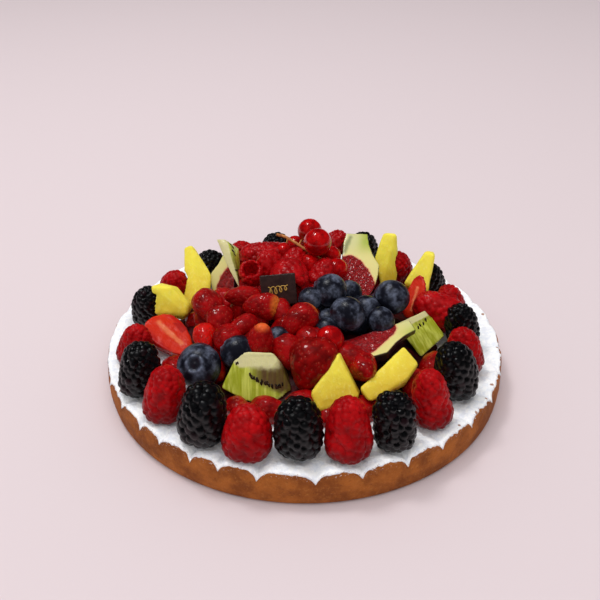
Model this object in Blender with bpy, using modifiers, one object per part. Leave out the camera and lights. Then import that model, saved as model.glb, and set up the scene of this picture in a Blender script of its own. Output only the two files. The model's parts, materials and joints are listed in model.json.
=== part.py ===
"""A round fruit tart: a shortcrust case, its filling and the fruit set on it.

Blender 4.5, metres, +Z up. The origin is the middle of the tart's flat base.
The front is -Y. Places below are in mm; azimuth 0 is the front and grows
towards +X.
"""

import math

import bmesh
import bpy
from mathutils import Matrix, Vector
from mathutils.bvhtree import BVHTree

MM = 0.001

# Driving dimensions
TART_RADIUS = 100.0 * MM        # outside of the case's wall
CASE_HEIGHT = 17.0 * MM         # top of the rim
WALL_THICKNESS = 7.0 * MM
FLOOR_THICKNESS = 4.0 * MM
RIM_WAVES = 28                  # finger marks around the rim
RIM_WAVE_HEIGHT = 1.4 * MM
WAVE_DEPTH = 3.5 * MM           # how far down the wall the waves reach
FILLING_LEVEL = 15.0 * MM       # flat border that carries the outer berries
MOUND_RADIUS = 70.0 * MM
MOUND_RISE = 15.0 * MM          # how far the filling rises in the middle
GAP = 0.3 * MM                  # between touching pieces
ROOM = 0.45 * MM                # how far a piece pushes its neighbours back
OUTER_LEAN = 10.0               # degrees that the outer berries lean inwards
BERRY_SPIN = 37.0               # degrees that each outer berry is turned past the last
RASPBERRY_BUMP = 0.6 * MM       # relief of the drupelets
BRAMBLE_BUMP = 0.9 * MM
STALK_RADIUS = 0.9 * MM         # main stalk of the currants
BERRY_STALK_RADIUS = 0.7 * MM
STALK_OVERLAP = 0.55            # mm that a stalk runs into the one that it grows from
CURRANT_AXIS = (0.2, -0.3, 1.0)
FIG_BODY = 0.92                 # a fig's widest radius and its neck's, as shares of half its width
FIG_NECK = 0.4
TAG_SIZE = (18.0 * MM, 1.6 * MM, 15.5 * MM)
FRUIT_ANGLE = 50.0              # degrees between faces past which an edge is sharp
CUT_ANGLE = 35.0                # the same on the cut pieces
CASE_ANGLE = 40.0               # the same on the case and its filling

# Base colour, roughness
COLOURS = {
    "crust": ((0.38, 0.17, 0.055), 0.8),
    "filling": ((0.78, 0.62, 0.28), 0.5),
    "raspberry": ((0.46, 0.012, 0.02), 0.45),
    "bramble": ((0.012, 0.01, 0.014), 0.3),
    "blueberry": ((0.025, 0.03, 0.055), 0.5),
    "currant": ((0.35, 0.004, 0.006), 0.1),
    "strawberry": ((0.45, 0.008, 0.006), 0.3),
    "mango": ((0.72, 0.5, 0.06), 0.35),
    "kiwi": ((0.42, 0.48, 0.07), 0.3),
    "fig": ((0.4, 0.05, 0.04), 0.35),
    "chocolate": ((0.03, 0.012, 0.01), 0.4),
}

# The outer berries, front first, then round by the right: azimuth in degrees,
# distance from the centre, width and height. Brambles and raspberries take turns.
OUTER_BERRIES = [
    (-2, 84, 20, 27), (12, 87, 21, 29), (25, 88, 18.5, 27), (40, 85.5, 18.5, 29),
    (56, 83, 19, 28), (70, 81, 18, 25), (85, 79, 17.5, 24), (101, 78, 17, 23),
    (119, 78.5, 17, 21.5), (135, 76, 16.5, 21), (154, 79, 18, 23), (173, 78, 18, 21),
    (-168, 78, 17, 20), (-152, 77, 18, 20), (-136, 76, 18, 20), (-115, 77.5, 17, 21),
    (-98, 82, 16, 23), (-76, 85, 17.5, 22), (-60, 88, 19, 27), (-46, 87, 19.5, 27),
    (-30, 88, 21, 28), (-16, 88, 22, 24),
]


def clear_scene():
    for thing in list(bpy.data.objects):
        bpy.data.objects.remove(thing, do_unlink=True)


def new_collection(name):
    group = bpy.data.collections.new(name)
    bpy.context.scene.collection.children.link(group)
    return group


def material(name):
    if name in bpy.data.materials:
        return bpy.data.materials[name]
    colour, roughness = COLOURS[name]
    made = bpy.data.materials.new(name)
    made.use_nodes = True
    shader = made.node_tree.nodes["Principled BSDF"]
    shader.inputs["Base Color"].default_value = (*colour, 1.0)
    shader.inputs["Roughness"].default_value = roughness
    shader.inputs["Metallic"].default_value = 0.0
    return made


def add_part(name, shape, finish, smooth_angle=FRUIT_ANGLE):
    """Turns a finished bmesh into a named object of the tart."""
    bmesh.ops.recalc_face_normals(shape, faces=shape.faces)
    mesh = bpy.data.meshes.new(name)
    shape.to_mesh(mesh)
    shape.free()
    mesh.materials.append(material(finish))
    mesh.shade_smooth()
    mesh.set_sharp_from_angle(angle=math.radians(smooth_angle))
    part = bpy.data.objects.new(name, mesh)
    TART.objects.link(part)
    return part


def move_into_cutters(part):
    TART.objects.unlink(part)
    CUTTERS.objects.link(part)
    part.hide_render = True
    part.display_type = "WIRE"


def axis_frame(axis, face):
    """Rotation with local +Z on axis and local -Y as near to face as it can be."""
    up = Vector(axis).normalized()
    back = -(Vector(face) - up * Vector(face).dot(up)).normalized()
    return Matrix((back.cross(up), back, up)).transposed().to_4x4()


def place(part, at, axis=(0, 0, 1), face=None, spin=0.0):
    """Stands a piece's local +Z on axis, turned by face or spin, at a place in mm."""
    if face is None:
        turn = Vector(axis).normalized().to_track_quat("Z", "Y").to_matrix().to_4x4()
    else:
        turn = axis_frame(axis, face)
    turn = turn @ Matrix.Rotation(math.radians(spin), 4, "Z")
    part.location = Vector(at) * MM
    part.rotation_euler = turn.to_euler()


def signed_power(value, exponent):
    return math.copysign(abs(value) ** exponent, value)


def turned(width, height, columns, rings, outline, bump=0.0):
    """A uvsphere drawn out to a fruit's outline; width and height in mm.

    outline(polar) gives the radius and the height there, as shares of half the
    width and half the height. Every other point stands proud by bump.
    """
    shape = bmesh.new()
    bmesh.ops.create_uvsphere(shape, u_segments=columns, v_segments=rings, radius=1.0)
    for vert in shape.verts:
        polar = math.acos(max(-1.0, min(1.0, vert.co.z)))
        across = math.atan2(vert.co.y, vert.co.x)
        column = round(across / math.tau * columns)
        row = round(polar / math.pi * rings)
        radius, level = outline(polar)
        distance = radius * width / 2 * MM
        if radius > 0.3:
            distance += bump if (row + column) % 2 else -0.4 * bump
        vert.co = (math.cos(across) * distance, math.sin(across) * distance,
                   level * height / 2 * MM)
    return shape


def keep_side(shape, point, normal):
    """Cuts a shape with a plane, keeps the side the normal points to and closes it."""
    everything = list(shape.verts) + list(shape.edges) + list(shape.faces)
    cut = bmesh.ops.bisect_plane(shape, geom=everything, plane_co=Vector(point) * MM,
                                 plane_no=normal, clear_inner=True)
    rim = [item for item in cut["geom_cut"] if isinstance(item, bmesh.types.BMEdge)]
    bmesh.ops.contextual_create(shape, geom=rim)
    bmesh.ops.dissolve_degenerate(shape, dist=0.01 * MM, edges=shape.edges)


def round_off(shape, width):
    """A small flat bevel on the sharp edges of a cut piece."""
    sharp = [edge for edge in shape.edges
             if len(edge.link_faces) == 2 and edge.calc_face_angle() > math.radians(CUT_ANGLE)]
    bmesh.ops.bevel(shape, geom=sharp, offset=width, segments=1, affect="EDGES",
                    clamp_overlap=True)


def hull(points):
    """The closed convex shape around some points."""
    shape = bmesh.new()
    for point in points:
        shape.verts.new(point)
    made = bmesh.ops.convex_hull(shape, input=shape.verts)
    spare = [item for item in made["geom_interior"] if isinstance(item, bmesh.types.BMVert)]
    bmesh.ops.delete(shape, geom=spare, context="VERTS")
    return shape


# Outlines of the turned fruit. Polar angle 0 is the tip at +Z.

def ball_outline(polar):
    return math.sin(polar), math.cos(polar)


def raspberry_outline(polar):
    """A blunt cone, widest near its open end, which is nearly flat."""
    level = signed_power(math.cos(polar), 0.8)
    return math.sin(polar) ** 0.7 * (0.9 - 0.17 * level), level


def open_raspberry_outline(polar):
    """The same berry with the hollow that the stalk leaves."""
    radius, level = raspberry_outline(polar)
    if polar > math.radians(170):
        level += 0.8
    return radius, level


def bramble_outline(polar):
    level = signed_power(math.cos(polar), 0.85)
    return math.sin(polar) ** 0.7 * (0.94 - 0.08 * level), level


def blueberry_outline(polar):
    """A ball with a dimple inside its crown at +Z."""
    level = math.cos(polar)
    if polar < math.radians(10):
        level -= 0.25
    return math.sin(polar), level


def strawberry_outline(polar):
    """Broad shoulders at -Z and a blunt tip at +Z."""
    level = math.cos(polar)
    return math.sin(polar) ** 0.8 * (0.86 - 0.26 * level), level


def fig_outline(polar):
    """A pear: a round base at -Z that draws in to a broad neck at +Z."""
    level = math.cos(polar)
    if level > 0.999:
        return 0.0, level
    if level > 0.0:
        return FIG_NECK + (FIG_BODY - FIG_NECK) * (1.0 - level) ** 2, level
    return FIG_BODY * math.sin(polar) ** 0.5, level


# The pastry case and its filling

def lathe(section, columns):
    """A closed turned shape: a profile of (radius, height) points, turned by a Screw modifier."""
    profile = bpy.data.meshes.new("profile")
    links = [(index, index + 1) for index in range(len(section) - 1)]
    profile.from_pydata([(0.0, -radius, height) for radius, height in section], links, [])
    turning = bpy.data.objects.new("profile", profile)
    CUTTERS.objects.link(turning)
    screw = turning.modifiers.new("turn", "SCREW")
    screw.axis = "Z"
    screw.steps = columns
    screw.render_steps = columns
    screw.use_merge_vertices = True
    screw.merge_threshold = 0.01 * MM
    depsgraph = bpy.context.evaluated_depsgraph_get()
    mesh = bpy.data.meshes.new_from_object(turning.evaluated_get(depsgraph))
    bpy.data.objects.remove(turning, do_unlink=True)
    shape = bmesh.new()
    shape.from_mesh(mesh)
    return shape


def wave_share(height):
    """How much of the rim's wave a point of the case takes: none below the rim, all at its crest."""
    start = CASE_HEIGHT - WAVE_DEPTH
    return max(0.0, min(1.0, (height - start) / WAVE_DEPTH))


def make_crust():
    """The case: its wall bulges a little and the rim rises and dips in waves."""
    outer = TART_RADIUS
    inner = TART_RADIUS - WALL_THICKNESS
    section = [
        (0.0, 0.0),
        (outer - 1.5 * MM, 0.0),
        (outer - 0.4 * MM, 2.0 * MM),
        (outer, 8.0 * MM),
        (outer - 0.8 * MM, CASE_HEIGHT - 3.0 * MM),
        (outer - 2.6 * MM, CASE_HEIGHT - 0.6 * MM),
        (outer - 4.6 * MM, CASE_HEIGHT - 0.8 * MM),
        (inner, FILLING_LEVEL - 0.6 * MM),
        (inner - 1.5 * MM, FLOOR_THICKNESS),
        (0.0, FLOOR_THICKNESS),
    ]
    shape = lathe(section, RIM_WAVES * 2)
    for vert in shape.verts:
        angle = math.atan2(vert.co.x, -vert.co.y)
        wave = RIM_WAVE_HEIGHT * (math.cos(RIM_WAVES * angle) - 0.5)
        vert.co.z += wave * wave_share(vert.co.z)
    return add_part("crust", shape, "crust", CASE_ANGLE)


def mound_height(radius):
    share = min(1.0, radius / MOUND_RADIUS)
    return FILLING_LEVEL + MOUND_RISE * (1.0 - share * share)


def make_filling():
    """It fills the case and rises to a low dome under the fruit."""
    top = TART_RADIUS - WALL_THICKNESS - GAP
    floor = FLOOR_THICKNESS + GAP
    steps = 4
    section = [(0.0, floor), (top - 1.5 * MM, floor),
               (top, FILLING_LEVEL - 0.6 * MM), (top, FILLING_LEVEL)]
    for step in range(steps + 1):
        radius = MOUND_RADIUS * (1.0 - step / steps)
        section.append((radius, mound_height(radius)))
    return add_part("filling", lathe(section, RIM_WAVES), "filling", CASE_ANGLE)


# The fruit

def make_outer_berries():
    """Brambles and raspberries in turn, leaning a little towards the heap."""
    lean = math.radians(OUTER_LEAN)
    for index, (azimuth, reach, width, height) in enumerate(OUTER_BERRIES):
        angle = math.radians(azimuth)
        outward = Vector((math.sin(angle), -math.cos(angle), 0.0))
        tip = Vector((0, 0, 1)) * math.cos(lean) - outward * math.sin(lean)
        at = outward * reach
        at.z = (FILLING_LEVEL + GAP) / MM + 0.4 * width * math.sin(lean) + height / 2 * math.cos(lean)
        if index % 2:
            shape = turned(width, height, 12, 6, raspberry_outline, RASPBERRY_BUMP)
            name, finish = f"raspberry_outer_{index:02d}", "raspberry"
        else:
            shape = turned(width, height, 12, 6, bramble_outline, BRAMBLE_BUMP)
            name, finish = f"bramble_outer_{index:02d}", "bramble"
        place(add_part(name, shape, finish), at, tip, spin=BERRY_SPIN * index)


def make_blueberries():
    """Name, place, diameter and the way the crown looks."""
    berries = [
        ("front_left", (-49, -41.5, 29), 21.5, (-0.1, -1.0, 0.6)),
        ("behind_kiwi", (-31.5, -34, 31.5), 17, (-0.4, -0.9, 0.6)),
        ("middle", (12.5, 0.5, 44), 17.5, (-0.6, 0.3, 0.8)),
        ("middle_back", (23, 10, 37), 13.5, (0.5, 0.2, 0.8)),
        ("middle_front", (20.5, -16, 41), 17.5, (0.6, -0.7, 0.4)),
        ("right", (44, 4, 38), 18, (0.2, 0.5, 0.8)),
        ("right_front", (37, -15, 36.5), 14, (0.1, -0.8, 0.2)),
    ]
    for name, at, size, crown in berries:
        shape = turned(size, size * 0.95, 10, 7, blueberry_outline)
        place(add_part(f"blueberry_{name}", shape, "blueberry"), at, crown)


def add_stalk(name, start, end, radius, overlap):
    """A thin straight rod between two places in mm, started a little early."""
    shape = bmesh.new()
    along = Vector(end) - Vector(start)
    start = Vector(start) - along.normalized() * overlap
    along = Vector(end) - start
    bmesh.ops.create_cone(shape, cap_ends=True, segments=5, radius1=radius, radius2=radius,
                          depth=along.length * MM)
    part = add_part(name, shape, "currant")
    place(part, (start + Vector(end)) / 2, along)
    return part


def make_currants():
    """A sprig of currants: one piece, as each berry hangs on the same stalk."""
    berries = [
        ((3, 50, 51.5), 12.8), ((7, 36, 52), 14.4), ((-11, 45, 41), 10),
        ((-5, 54, 40.5), 10), ((3, 32, 40.5), 11.5), ((14.5, 42.5, 40), 10.5),
        ((17, 28, 40), 11.5),
    ]
    main_stalk = [(-10, 50, 47), (-3, 43, 46), (6, 38, 42), (14, 36, 38)]
    joints = [1, 2, 1, 1, 2, 3, 3]
    sprig = add_stalk("currant_sprig", main_stalk[0], main_stalk[1], STALK_RADIUS, 0.0)
    pieces = new_collection("sprig_pieces")
    bits = [add_stalk("main_stalk", low, high, STALK_RADIUS, STALK_OVERLAP)
            for low, high in zip(main_stalk[1:], main_stalk[2:])]
    for index, ((at, size), joint) in enumerate(zip(berries, joints)):
        overlap = STALK_OVERLAP * (index + 1) / len(berries)
        bits.append(add_stalk("berry_stalk", main_stalk[joint], at, BERRY_STALK_RADIUS, overlap))
        ball = add_part("berry", turned(size, size, 8, 5, ball_outline), "currant")
        place(ball, at, CURRANT_AXIS)
        bits.append(ball)
    for bit in bits:
        move_into_cutters(bit)
        pieces.objects.link(bit)
    union = sprig.modifiers.new("join", "BOOLEAN")
    union.operation = "UNION"
    union.operand_type = "COLLECTION"
    union.collection = pieces
    union.solver = "EXACT"
    single = add_part("currant_single", turned(13.5, 13.5, 12, 7, ball_outline), "currant")
    place(single, (11.5, -33, 38), CURRANT_AXIS)


def make_strawberries():
    """Whole ones: name, place, width, length and the way the tip points."""
    berries = [
        ("wild_strawberry_left", (-47, -4, 36), 16.5, 21, (0.6, -0.7, -0.3)),
        ("wild_strawberry_middle_left", (-31, 4, 38), 13.5, 19, (-0.9, -0.1, 0.2)),
        ("wild_strawberry_middle", (-21, -9, 41), 15, 20, (0.9, -0.4, 0.1)),
        ("wild_strawberry_centre", (-3, -20, 40), 16.5, 19, (-0.8, -0.5, -0.3)),
        ("wild_strawberry_orange_tip", (-21, -31, 37.5), 14, 17, (0.1, 0.3, 1)),
        ("wild_strawberry_bright", (-48, -23, 31.5), 12, 15, (0.2, -0.8, -0.3)),
        ("strawberry_front", (3.5, -43, 31.5), 25, 26, (-0.1, -0.85, -0.3)),
        ("strawberry_front_right", (27, -44, 30), 15, 19, (0.2, -0.8, 0.2)),
    ]
    for name, at, width, length, tip in berries:
        shape = turned(width, length, 12 if width > 20 else 10, 6, strawberry_outline)
        place(add_part(name, shape, "strawberry"), at, tip)


def make_cut_strawberries():
    """Halves: name, place, width, length, the way the tip and the cut face point."""
    halves = [
        ("strawberry_half_left", (-66.5, -11, 25.5), 23, 29, (17, -17, -8), (0.3, -0.3, 0.9)),
        ("strawberry_half_right", (57, 12, 33), 14, 24, (5, 14, 15), (-0.5, -0.6, 0.4)),
    ]
    for name, at, width, length, tip, face in halves:
        shape = turned(width, length, 14, 8, strawberry_outline)
        keep_side(shape, (0, 0, 0), (0, 1, 0))
        round_off(shape, 0.5 * MM)
        place(add_part(name, shape, "strawberry", CUT_ANGLE), at, tip, face)


def make_inner_raspberries():
    berries = [
        ("back", (-23, 46, 37.5), 18, 25, (-1.0, 0.0, 0.05), raspberry_outline),
        ("left", (-27.5, 25, 38), 15, 17, (0.1, 0.6, -1.0), open_raspberry_outline),
        ("open", (-8, 18, 41), 22, 20, (0.0, 0.8, 0.3), open_raspberry_outline),
        ("right", (67, 3, 31), 21, 25, (-0.9, 0.35, 0.2), open_raspberry_outline),
    ]
    for name, at, width, height, tip, outline in berries:
        shape = turned(width, height, 12, 6, outline, RASPBERRY_BUMP)
        place(add_part(f"raspberry_{name}", shape, "raspberry"), at, tip)


def make_mango():
    """Chunks with flat cut faces, each the hull of its corners."""
    chunks = {
        "mango_left_tall": [
            (-61, 43, 47), (-66, 45, 44), (-49, 32, 34), (-56, 16, 21),
            (-65, 21, 21), (-50, 24, 23), (-58, 34, 20), (-60, 48, 42)],
        "mango_left_low": [
            (-78.4, 9, 42), (-68.5, 11.5, 39.5), (-59, 8, 31), (-60, 4, 27), (-77, 3, 28),
            (-75, 18, 38), (-66, 19, 35), (-58, 15, 26), (-72, 14, 21), (-62, 8, 21)],
        "mango_back_right": [
            (43, 55, 48), (51, 53, 48), (38, 47, 36), (42, 38, 22),
            (52, 43, 22), (44, 50, 24), (50, 60, 44), (53, 50, 30)],
        "mango_right": [
            (64, 35, 47), (69.6, 33.5, 46), (52.5, 27, 32), (65.5, 21, 30),
            (65.5, 40, 45), (70.5, 39, 44.5), (56, 32, 22), (65, 26, 22)],
        "mango_front_right": [
            (24, -57, 29), (46, -34, 36), (53, -42, 31), (47, -50, 28),
            (29, -62, 24), (26, -52, 20), (48, -33, 24), (46, -46, 20)],
        "mango_front": [
            (14.8, -46, 40), (2, -60, 28), (5.5, -66, 22), (24.5, -59, 25),
            (16, -40, 37), (5, -52, 20), (26, -50, 20), (12, -62, 18)],
    }
    for name, corners in chunks.items():
        shape = hull(Vector(corner) * MM for corner in corners)
        round_off(shape, 1.0 * MM)
        add_part(name, shape, "mango", CUT_ANGLE)


def make_kiwi():
    """Cut pieces with the pale core along one edge, each the hull of its corners."""
    pieces = {
        "kiwi_front": [
            (-32.5, -43.5, 33), (-31, -40.5, 36), (-27, -39.5, 36.5), (-15, -40.5, 36.5),
            (-12.5, -43, 34.5), (-15, -46.5, 31.5), (-26, -48, 29.5), (-38.5, -50.5, 23),
            (-27, -56, 20), (-21, -57, 19.5), (-13.5, -57, 19.5), (-5.5, -51, 21.5),
            (-7, -49.5, 24.5), (-36, -36, 20), (-6, -36, 20)],
        "kiwi_right": [
            (60.5, -2, 34.5), (45, -12, 33), (46, -13.5, 30), (56.5, -9, 31),
            (70, -11.5, 25), (57, -22.5, 19.5), (54, -12, 22), (66, 1, 25),
            (50, -5, 24), (61, -6, 19)],
        "kiwi_back": [
            (-47, 38, 53), (-42.5, 38, 53), (-39, 34, 51), (-36.5, 28, 46.5),
            (-35, 23, 40.5), (-34, 18, 34), (-38, 23, 39.5), (-41.5, 28, 44),
            (-44.5, 34, 49.5), (-35, 40, 46), (-34, 33, 38)],
    }
    for name, corners in pieces.items():
        shape = hull(Vector(corner) * MM for corner in corners)
        round_off(shape, 0.6 * MM)
        add_part(name, shape, "kiwi", CUT_ANGLE)


def make_figs():
    """Pieces cut lengthwise, with the end of the neck cut flat.

    Name, place, length, width, way of the stalk and of the cut face, how far the
    piece goes past the core, and on which side of the core the rest lies, seen from
    the face with the stalk up.
    """
    pieces = [
        ("left", (-38, 40, 31), 36, 30, (0, 21, 17), (-0.1, -0.65, 0.75), 0, -1),
        ("back_right", (27, 39, 37), 44, 30, (4, 31, 17), (-0.1, -0.5, 0.85), 7, 1),
        ("front", (34, -23, 35), 40, 32, (0.94, 0.28, 0.17), (-0.15, -0.15, 1), 2, 1),
    ]
    for name, at, length, width, stalk_way, face, past, side in pieces:
        shape = turned(width, length, 16, 10, fig_outline)
        keep_side(shape, (0, 0, 0), (0, 1, 0))
        keep_side(shape, (-side * past, 0, 0), (side, 0, 0))
        keep_side(shape, (0, 0, 0.45 * length), (0, 0, -1))
        round_off(shape, 0.5 * MM)
        place(add_part(f"fig_{name}", shape, "fig", CUT_ANGLE), at, stalk_way, face)


def make_chocolate_tag():
    """A thin square plaque that leans back against the open raspberry."""
    shape = bmesh.new()
    bmesh.ops.create_cube(shape, size=1.0)
    bmesh.ops.scale(shape, vec=TAG_SIZE, verts=shape.verts)
    bmesh.ops.bevel(shape, geom=shape.edges, offset=0.3 * MM, segments=1, affect="EDGES")
    tag = add_part("chocolate_tag", shape, "chocolate", CUT_ANGLE)
    place(tag, (-13, 3, 43), (-0.1, 0.45, 0.9), (-0.15, -0.9, 0.4))


# Pieces that press on each other

def world_tree(part, depsgraph):
    mesh = part.evaluated_get(depsgraph).data
    points = [part.matrix_world @ vert.co for vert in mesh.vertices]
    return BVHTree.FromPolygons(points, [tuple(face.vertices) for face in mesh.polygons])


def room_around(part):
    """A shape that stands proud of the piece, to cut its neighbours with."""
    shape = bmesh.new()
    shape.from_mesh(part.data)
    shape.normal_update()
    points = [part.matrix_world @ (vert.co + vert.normal * ROOM) for vert in shape.verts]
    if part.name == "filling":
        for vert, point in zip(shape.verts, points):
            vert.co = point
    else:
        shape.free()
        shape = hull(points)
    room = add_part(f"room_for_{part.name}", shape, "filling")
    move_into_cutters(room)
    return room


def make_room():
    """Each piece gives way to the pieces made before it where the two would meet."""
    bpy.context.view_layer.update()
    depsgraph = bpy.context.evaluated_depsgraph_get()
    parts = list(TART.objects)
    trees = {part.name: world_tree(part, depsgraph) for part in parts}
    rooms = {}
    for index, part in enumerate(parts):
        for earlier in parts[:index]:
            if not trees[part.name].overlap(trees[earlier.name]):
                continue
            if earlier.name not in rooms:
                rooms[earlier.name] = room_around(earlier)
            cut = part.modifiers.new(f"clear_{earlier.name}"[:60], "BOOLEAN")
            cut.operation = "DIFFERENCE"
            cut.object = rooms[earlier.name]
            cut.solver = "EXACT"
            print(part.name, "gives way to", earlier.name)


clear_scene()
TART = new_collection("fruit_tart")
CUTTERS = new_collection("cutters")
make_crust()
make_filling()
make_outer_berries()
make_blueberries()
make_cut_strawberries()
make_mango()
make_kiwi()
make_figs()
make_inner_raspberries()
make_currants()
make_strawberries()
make_chocolate_tag()
make_room()
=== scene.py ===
import json
import math

import bpy
import numpy as np
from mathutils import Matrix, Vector
from mathutils.bvhtree import BVHTree

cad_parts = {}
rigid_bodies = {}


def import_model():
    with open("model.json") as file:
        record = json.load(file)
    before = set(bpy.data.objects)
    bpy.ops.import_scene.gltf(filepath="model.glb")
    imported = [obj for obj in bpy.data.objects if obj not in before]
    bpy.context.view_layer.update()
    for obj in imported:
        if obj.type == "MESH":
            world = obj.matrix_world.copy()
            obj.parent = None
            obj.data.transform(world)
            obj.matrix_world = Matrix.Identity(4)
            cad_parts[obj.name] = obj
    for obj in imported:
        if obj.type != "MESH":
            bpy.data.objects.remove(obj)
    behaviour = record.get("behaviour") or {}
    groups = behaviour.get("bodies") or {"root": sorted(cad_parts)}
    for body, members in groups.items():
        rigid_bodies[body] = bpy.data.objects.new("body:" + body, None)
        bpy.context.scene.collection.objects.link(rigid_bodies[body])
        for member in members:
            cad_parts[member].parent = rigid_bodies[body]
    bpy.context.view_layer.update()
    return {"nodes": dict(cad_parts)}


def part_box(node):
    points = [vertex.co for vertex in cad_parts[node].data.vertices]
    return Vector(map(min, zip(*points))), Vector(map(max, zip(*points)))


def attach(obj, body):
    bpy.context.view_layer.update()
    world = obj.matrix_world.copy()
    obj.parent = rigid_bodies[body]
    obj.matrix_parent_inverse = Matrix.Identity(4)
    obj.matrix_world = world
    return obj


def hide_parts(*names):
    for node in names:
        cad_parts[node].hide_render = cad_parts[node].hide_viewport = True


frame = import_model()
mm = 0.001
goldenAngle = math.pi * (3.0 - math.sqrt(5.0))
print("frame loaded with", len(frame["nodes"]), "nodes")


# shader maths

def tint(red, green, blue):
    # screen colour to the linear colour that a shader takes
    parts = [value / 255.0 for value in (red, green, blue)]
    linear = [p / 12.92 if p <= 0.04045 else ((p + 0.055) / 1.055) ** 2.4 for p in parts]
    return (*linear, 1.0)


class Wire:
    # one socket of a finish; Python's operators add Math nodes to its tree
    def __init__(self, finish, socket):
        self.finish = finish
        self.socket = socket

    def maths(self, operation, *others):
        return self.finish.node("ShaderNodeMath", {"operation": operation}, dict(enumerate(others)))

    def __add__(self, other):
        return self.maths("ADD", self, other)

    def __radd__(self, other):
        return self.maths("ADD", other, self)

    def __sub__(self, other):
        return self.maths("SUBTRACT", self, other)

    def __rsub__(self, other):
        return self.maths("SUBTRACT", other, self)

    def __mul__(self, other):
        return self.maths("MULTIPLY", self, other)

    def __rmul__(self, other):
        return self.maths("MULTIPLY", other, self)

    def __truediv__(self, other):
        return self.maths("DIVIDE", self, other)

    def __pow__(self, other):
        return self.maths("POWER", self, other)

    def between(self, low, high):
        # 0 below low, 1 above high, a smooth step between them
        return self.finish.node("ShaderNodeMapRange", {"interpolation_type": "SMOOTHSTEP"},
                                {0: self, 1: low, 2: high, 3: 0.0, 4: 1.0})


class Finish:
    # a material, with one method that adds any node
    def __init__(self, name, **fixed):
        self.material = bpy.data.materials.new(name)
        self.material.use_nodes = True
        self.tree = self.material.node_tree
        self.shader = self.tree.nodes["Principled BSDF"]
        for socket, value in fixed.items():
            self.shader.inputs[socket.replace("_", " ")].default_value = value

    def node(self, kind, settings=None, values=None, output=0):
        made = self.tree.nodes.new(kind)
        for key, value in (settings or {}).items():
            if key == "stops":
                ramp = made.color_ramp
                while len(ramp.elements) < len(value):
                    ramp.elements.new(1.0)
                for element, (place, colour) in zip(ramp.elements, value):
                    element.position = place
                    element.color = colour
            else:
                setattr(made, key, value)
        for key, value in (values or {}).items():
            if isinstance(value, Wire):
                self.tree.links.new(value.socket, made.inputs[key])
            else:
                made.inputs[key].default_value = value
        return Wire(self, made.outputs[output])

    def place(self):
        return self.node("ShaderNodeTexCoord", output="Object")

    def mark(self, name):
        return self.node("ShaderNodeAttribute", {"attribute_name": name}, output="Fac")

    def noise(self, size, detail=3.0, roughness=0.55, place=None, stretch=None):
        # noise of the given size in mm, from 0 to 1
        place = place or self.place()
        if stretch:
            place = self.node("ShaderNodeVectorMath", {"operation": "MULTIPLY"}, {0: place, 1: stretch})
        return self.node("ShaderNodeTexNoise", None,
                         {"Vector": place, "Scale": 1.0 / (size * mm), "Detail": detail,
                          "Roughness": roughness}, "Fac")

    def mix(self, amount, first, second, blend="MIX"):
        return self.node("ShaderNodeMix", {"data_type": "RGBA", "blend_type": blend},
                         {0: amount, 6: first, 7: second}, 2)

    def feed(self, **inputs):
        for socket, value in inputs.items():
            self.tree.links.new(value.socket, self.shader.inputs[socket.replace("_", " ")])

    def bump(self, height, depth, strength=1.0):
        # height from 0 to 1, depth in mm
        normal = self.node("ShaderNodeBump", None,
                           {"Strength": strength, "Distance": depth * mm, "Height": height})
        self.feed(Normal=normal)


# shapes

def softNoise(points, size, seed, layers=1):
    # value noise from -1 to 1: random values on a lattice of the given size, joined by
    # smooth steps in each direction; each further layer has half the size and the height
    total = np.zeros(points.shape[:-1])
    reach = 0.0
    for layer in range(layers):
        grid = points / (size / 2 ** layer) + 500.0
        cell = np.floor(grid).astype(np.int64)
        part = grid - cell
        part = part * part * (3.0 - 2.0 * part)
        value = np.zeros(points.shape[:-1])
        for corner in np.ndindex(2, 2, 2):
            at = cell + corner
            code = at[..., 0] * 73856093 ^ at[..., 1] * 19349663 ^ at[..., 2] * 83492791
            code = (code ^ (seed * 7919 + layer * 104729)) * 1274126177
            code = (code ^ (code >> 15)) & 0xFFFF
            share = np.where(np.array(corner) == 1, part, 1.0 - part).prod(-1)
            value += share * (code / 32767.5 - 1.0)
        total += value * 0.5 ** layer
        reach += 0.5 ** layer
    return total / reach


def step(value, low, high):
    # smooth step from 0 at low to 1 at high
    share = np.clip((value - low) / (high - low), 0.0, 1.0)
    return share * share * (3.0 - 2.0 * share)


def evenly(line, count):
    # the same line with count points at even distances along it
    run = np.concatenate([[0.0], np.cumsum(np.linalg.norm(np.diff(line, axis=0), axis=1))])
    at = np.linspace(0.0, run[-1], count)
    return np.stack([np.interp(at, run, line[:, axis]) for axis in range(line.shape[1])], 1)


def turn(profile, columns):
    # profile of (radius, height), from top to bottom, carried round the Z axis
    angle = np.linspace(0.0, 2.0 * math.pi, columns, endpoint=False)
    radius = profile[:, :1]
    height = np.broadcast_to(profile[:, 1:2], (len(profile), columns))
    return np.stack([radius * np.cos(angle), radius * np.sin(angle), height], -1)


def outward(grid):
    # unit normals of a grid whose columns close on themselves
    down = np.gradient(grid, axis=0)
    across = np.roll(grid, -1, axis=1) - np.roll(grid, 1, axis=1)
    normal = np.cross(down, across)
    normal[0] = normal[1].mean(0)
    normal[-1] = normal[-2].mean(0)
    return normal / np.maximum(np.linalg.norm(normal, axis=-1, keepdims=True), 1e-9)


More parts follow.
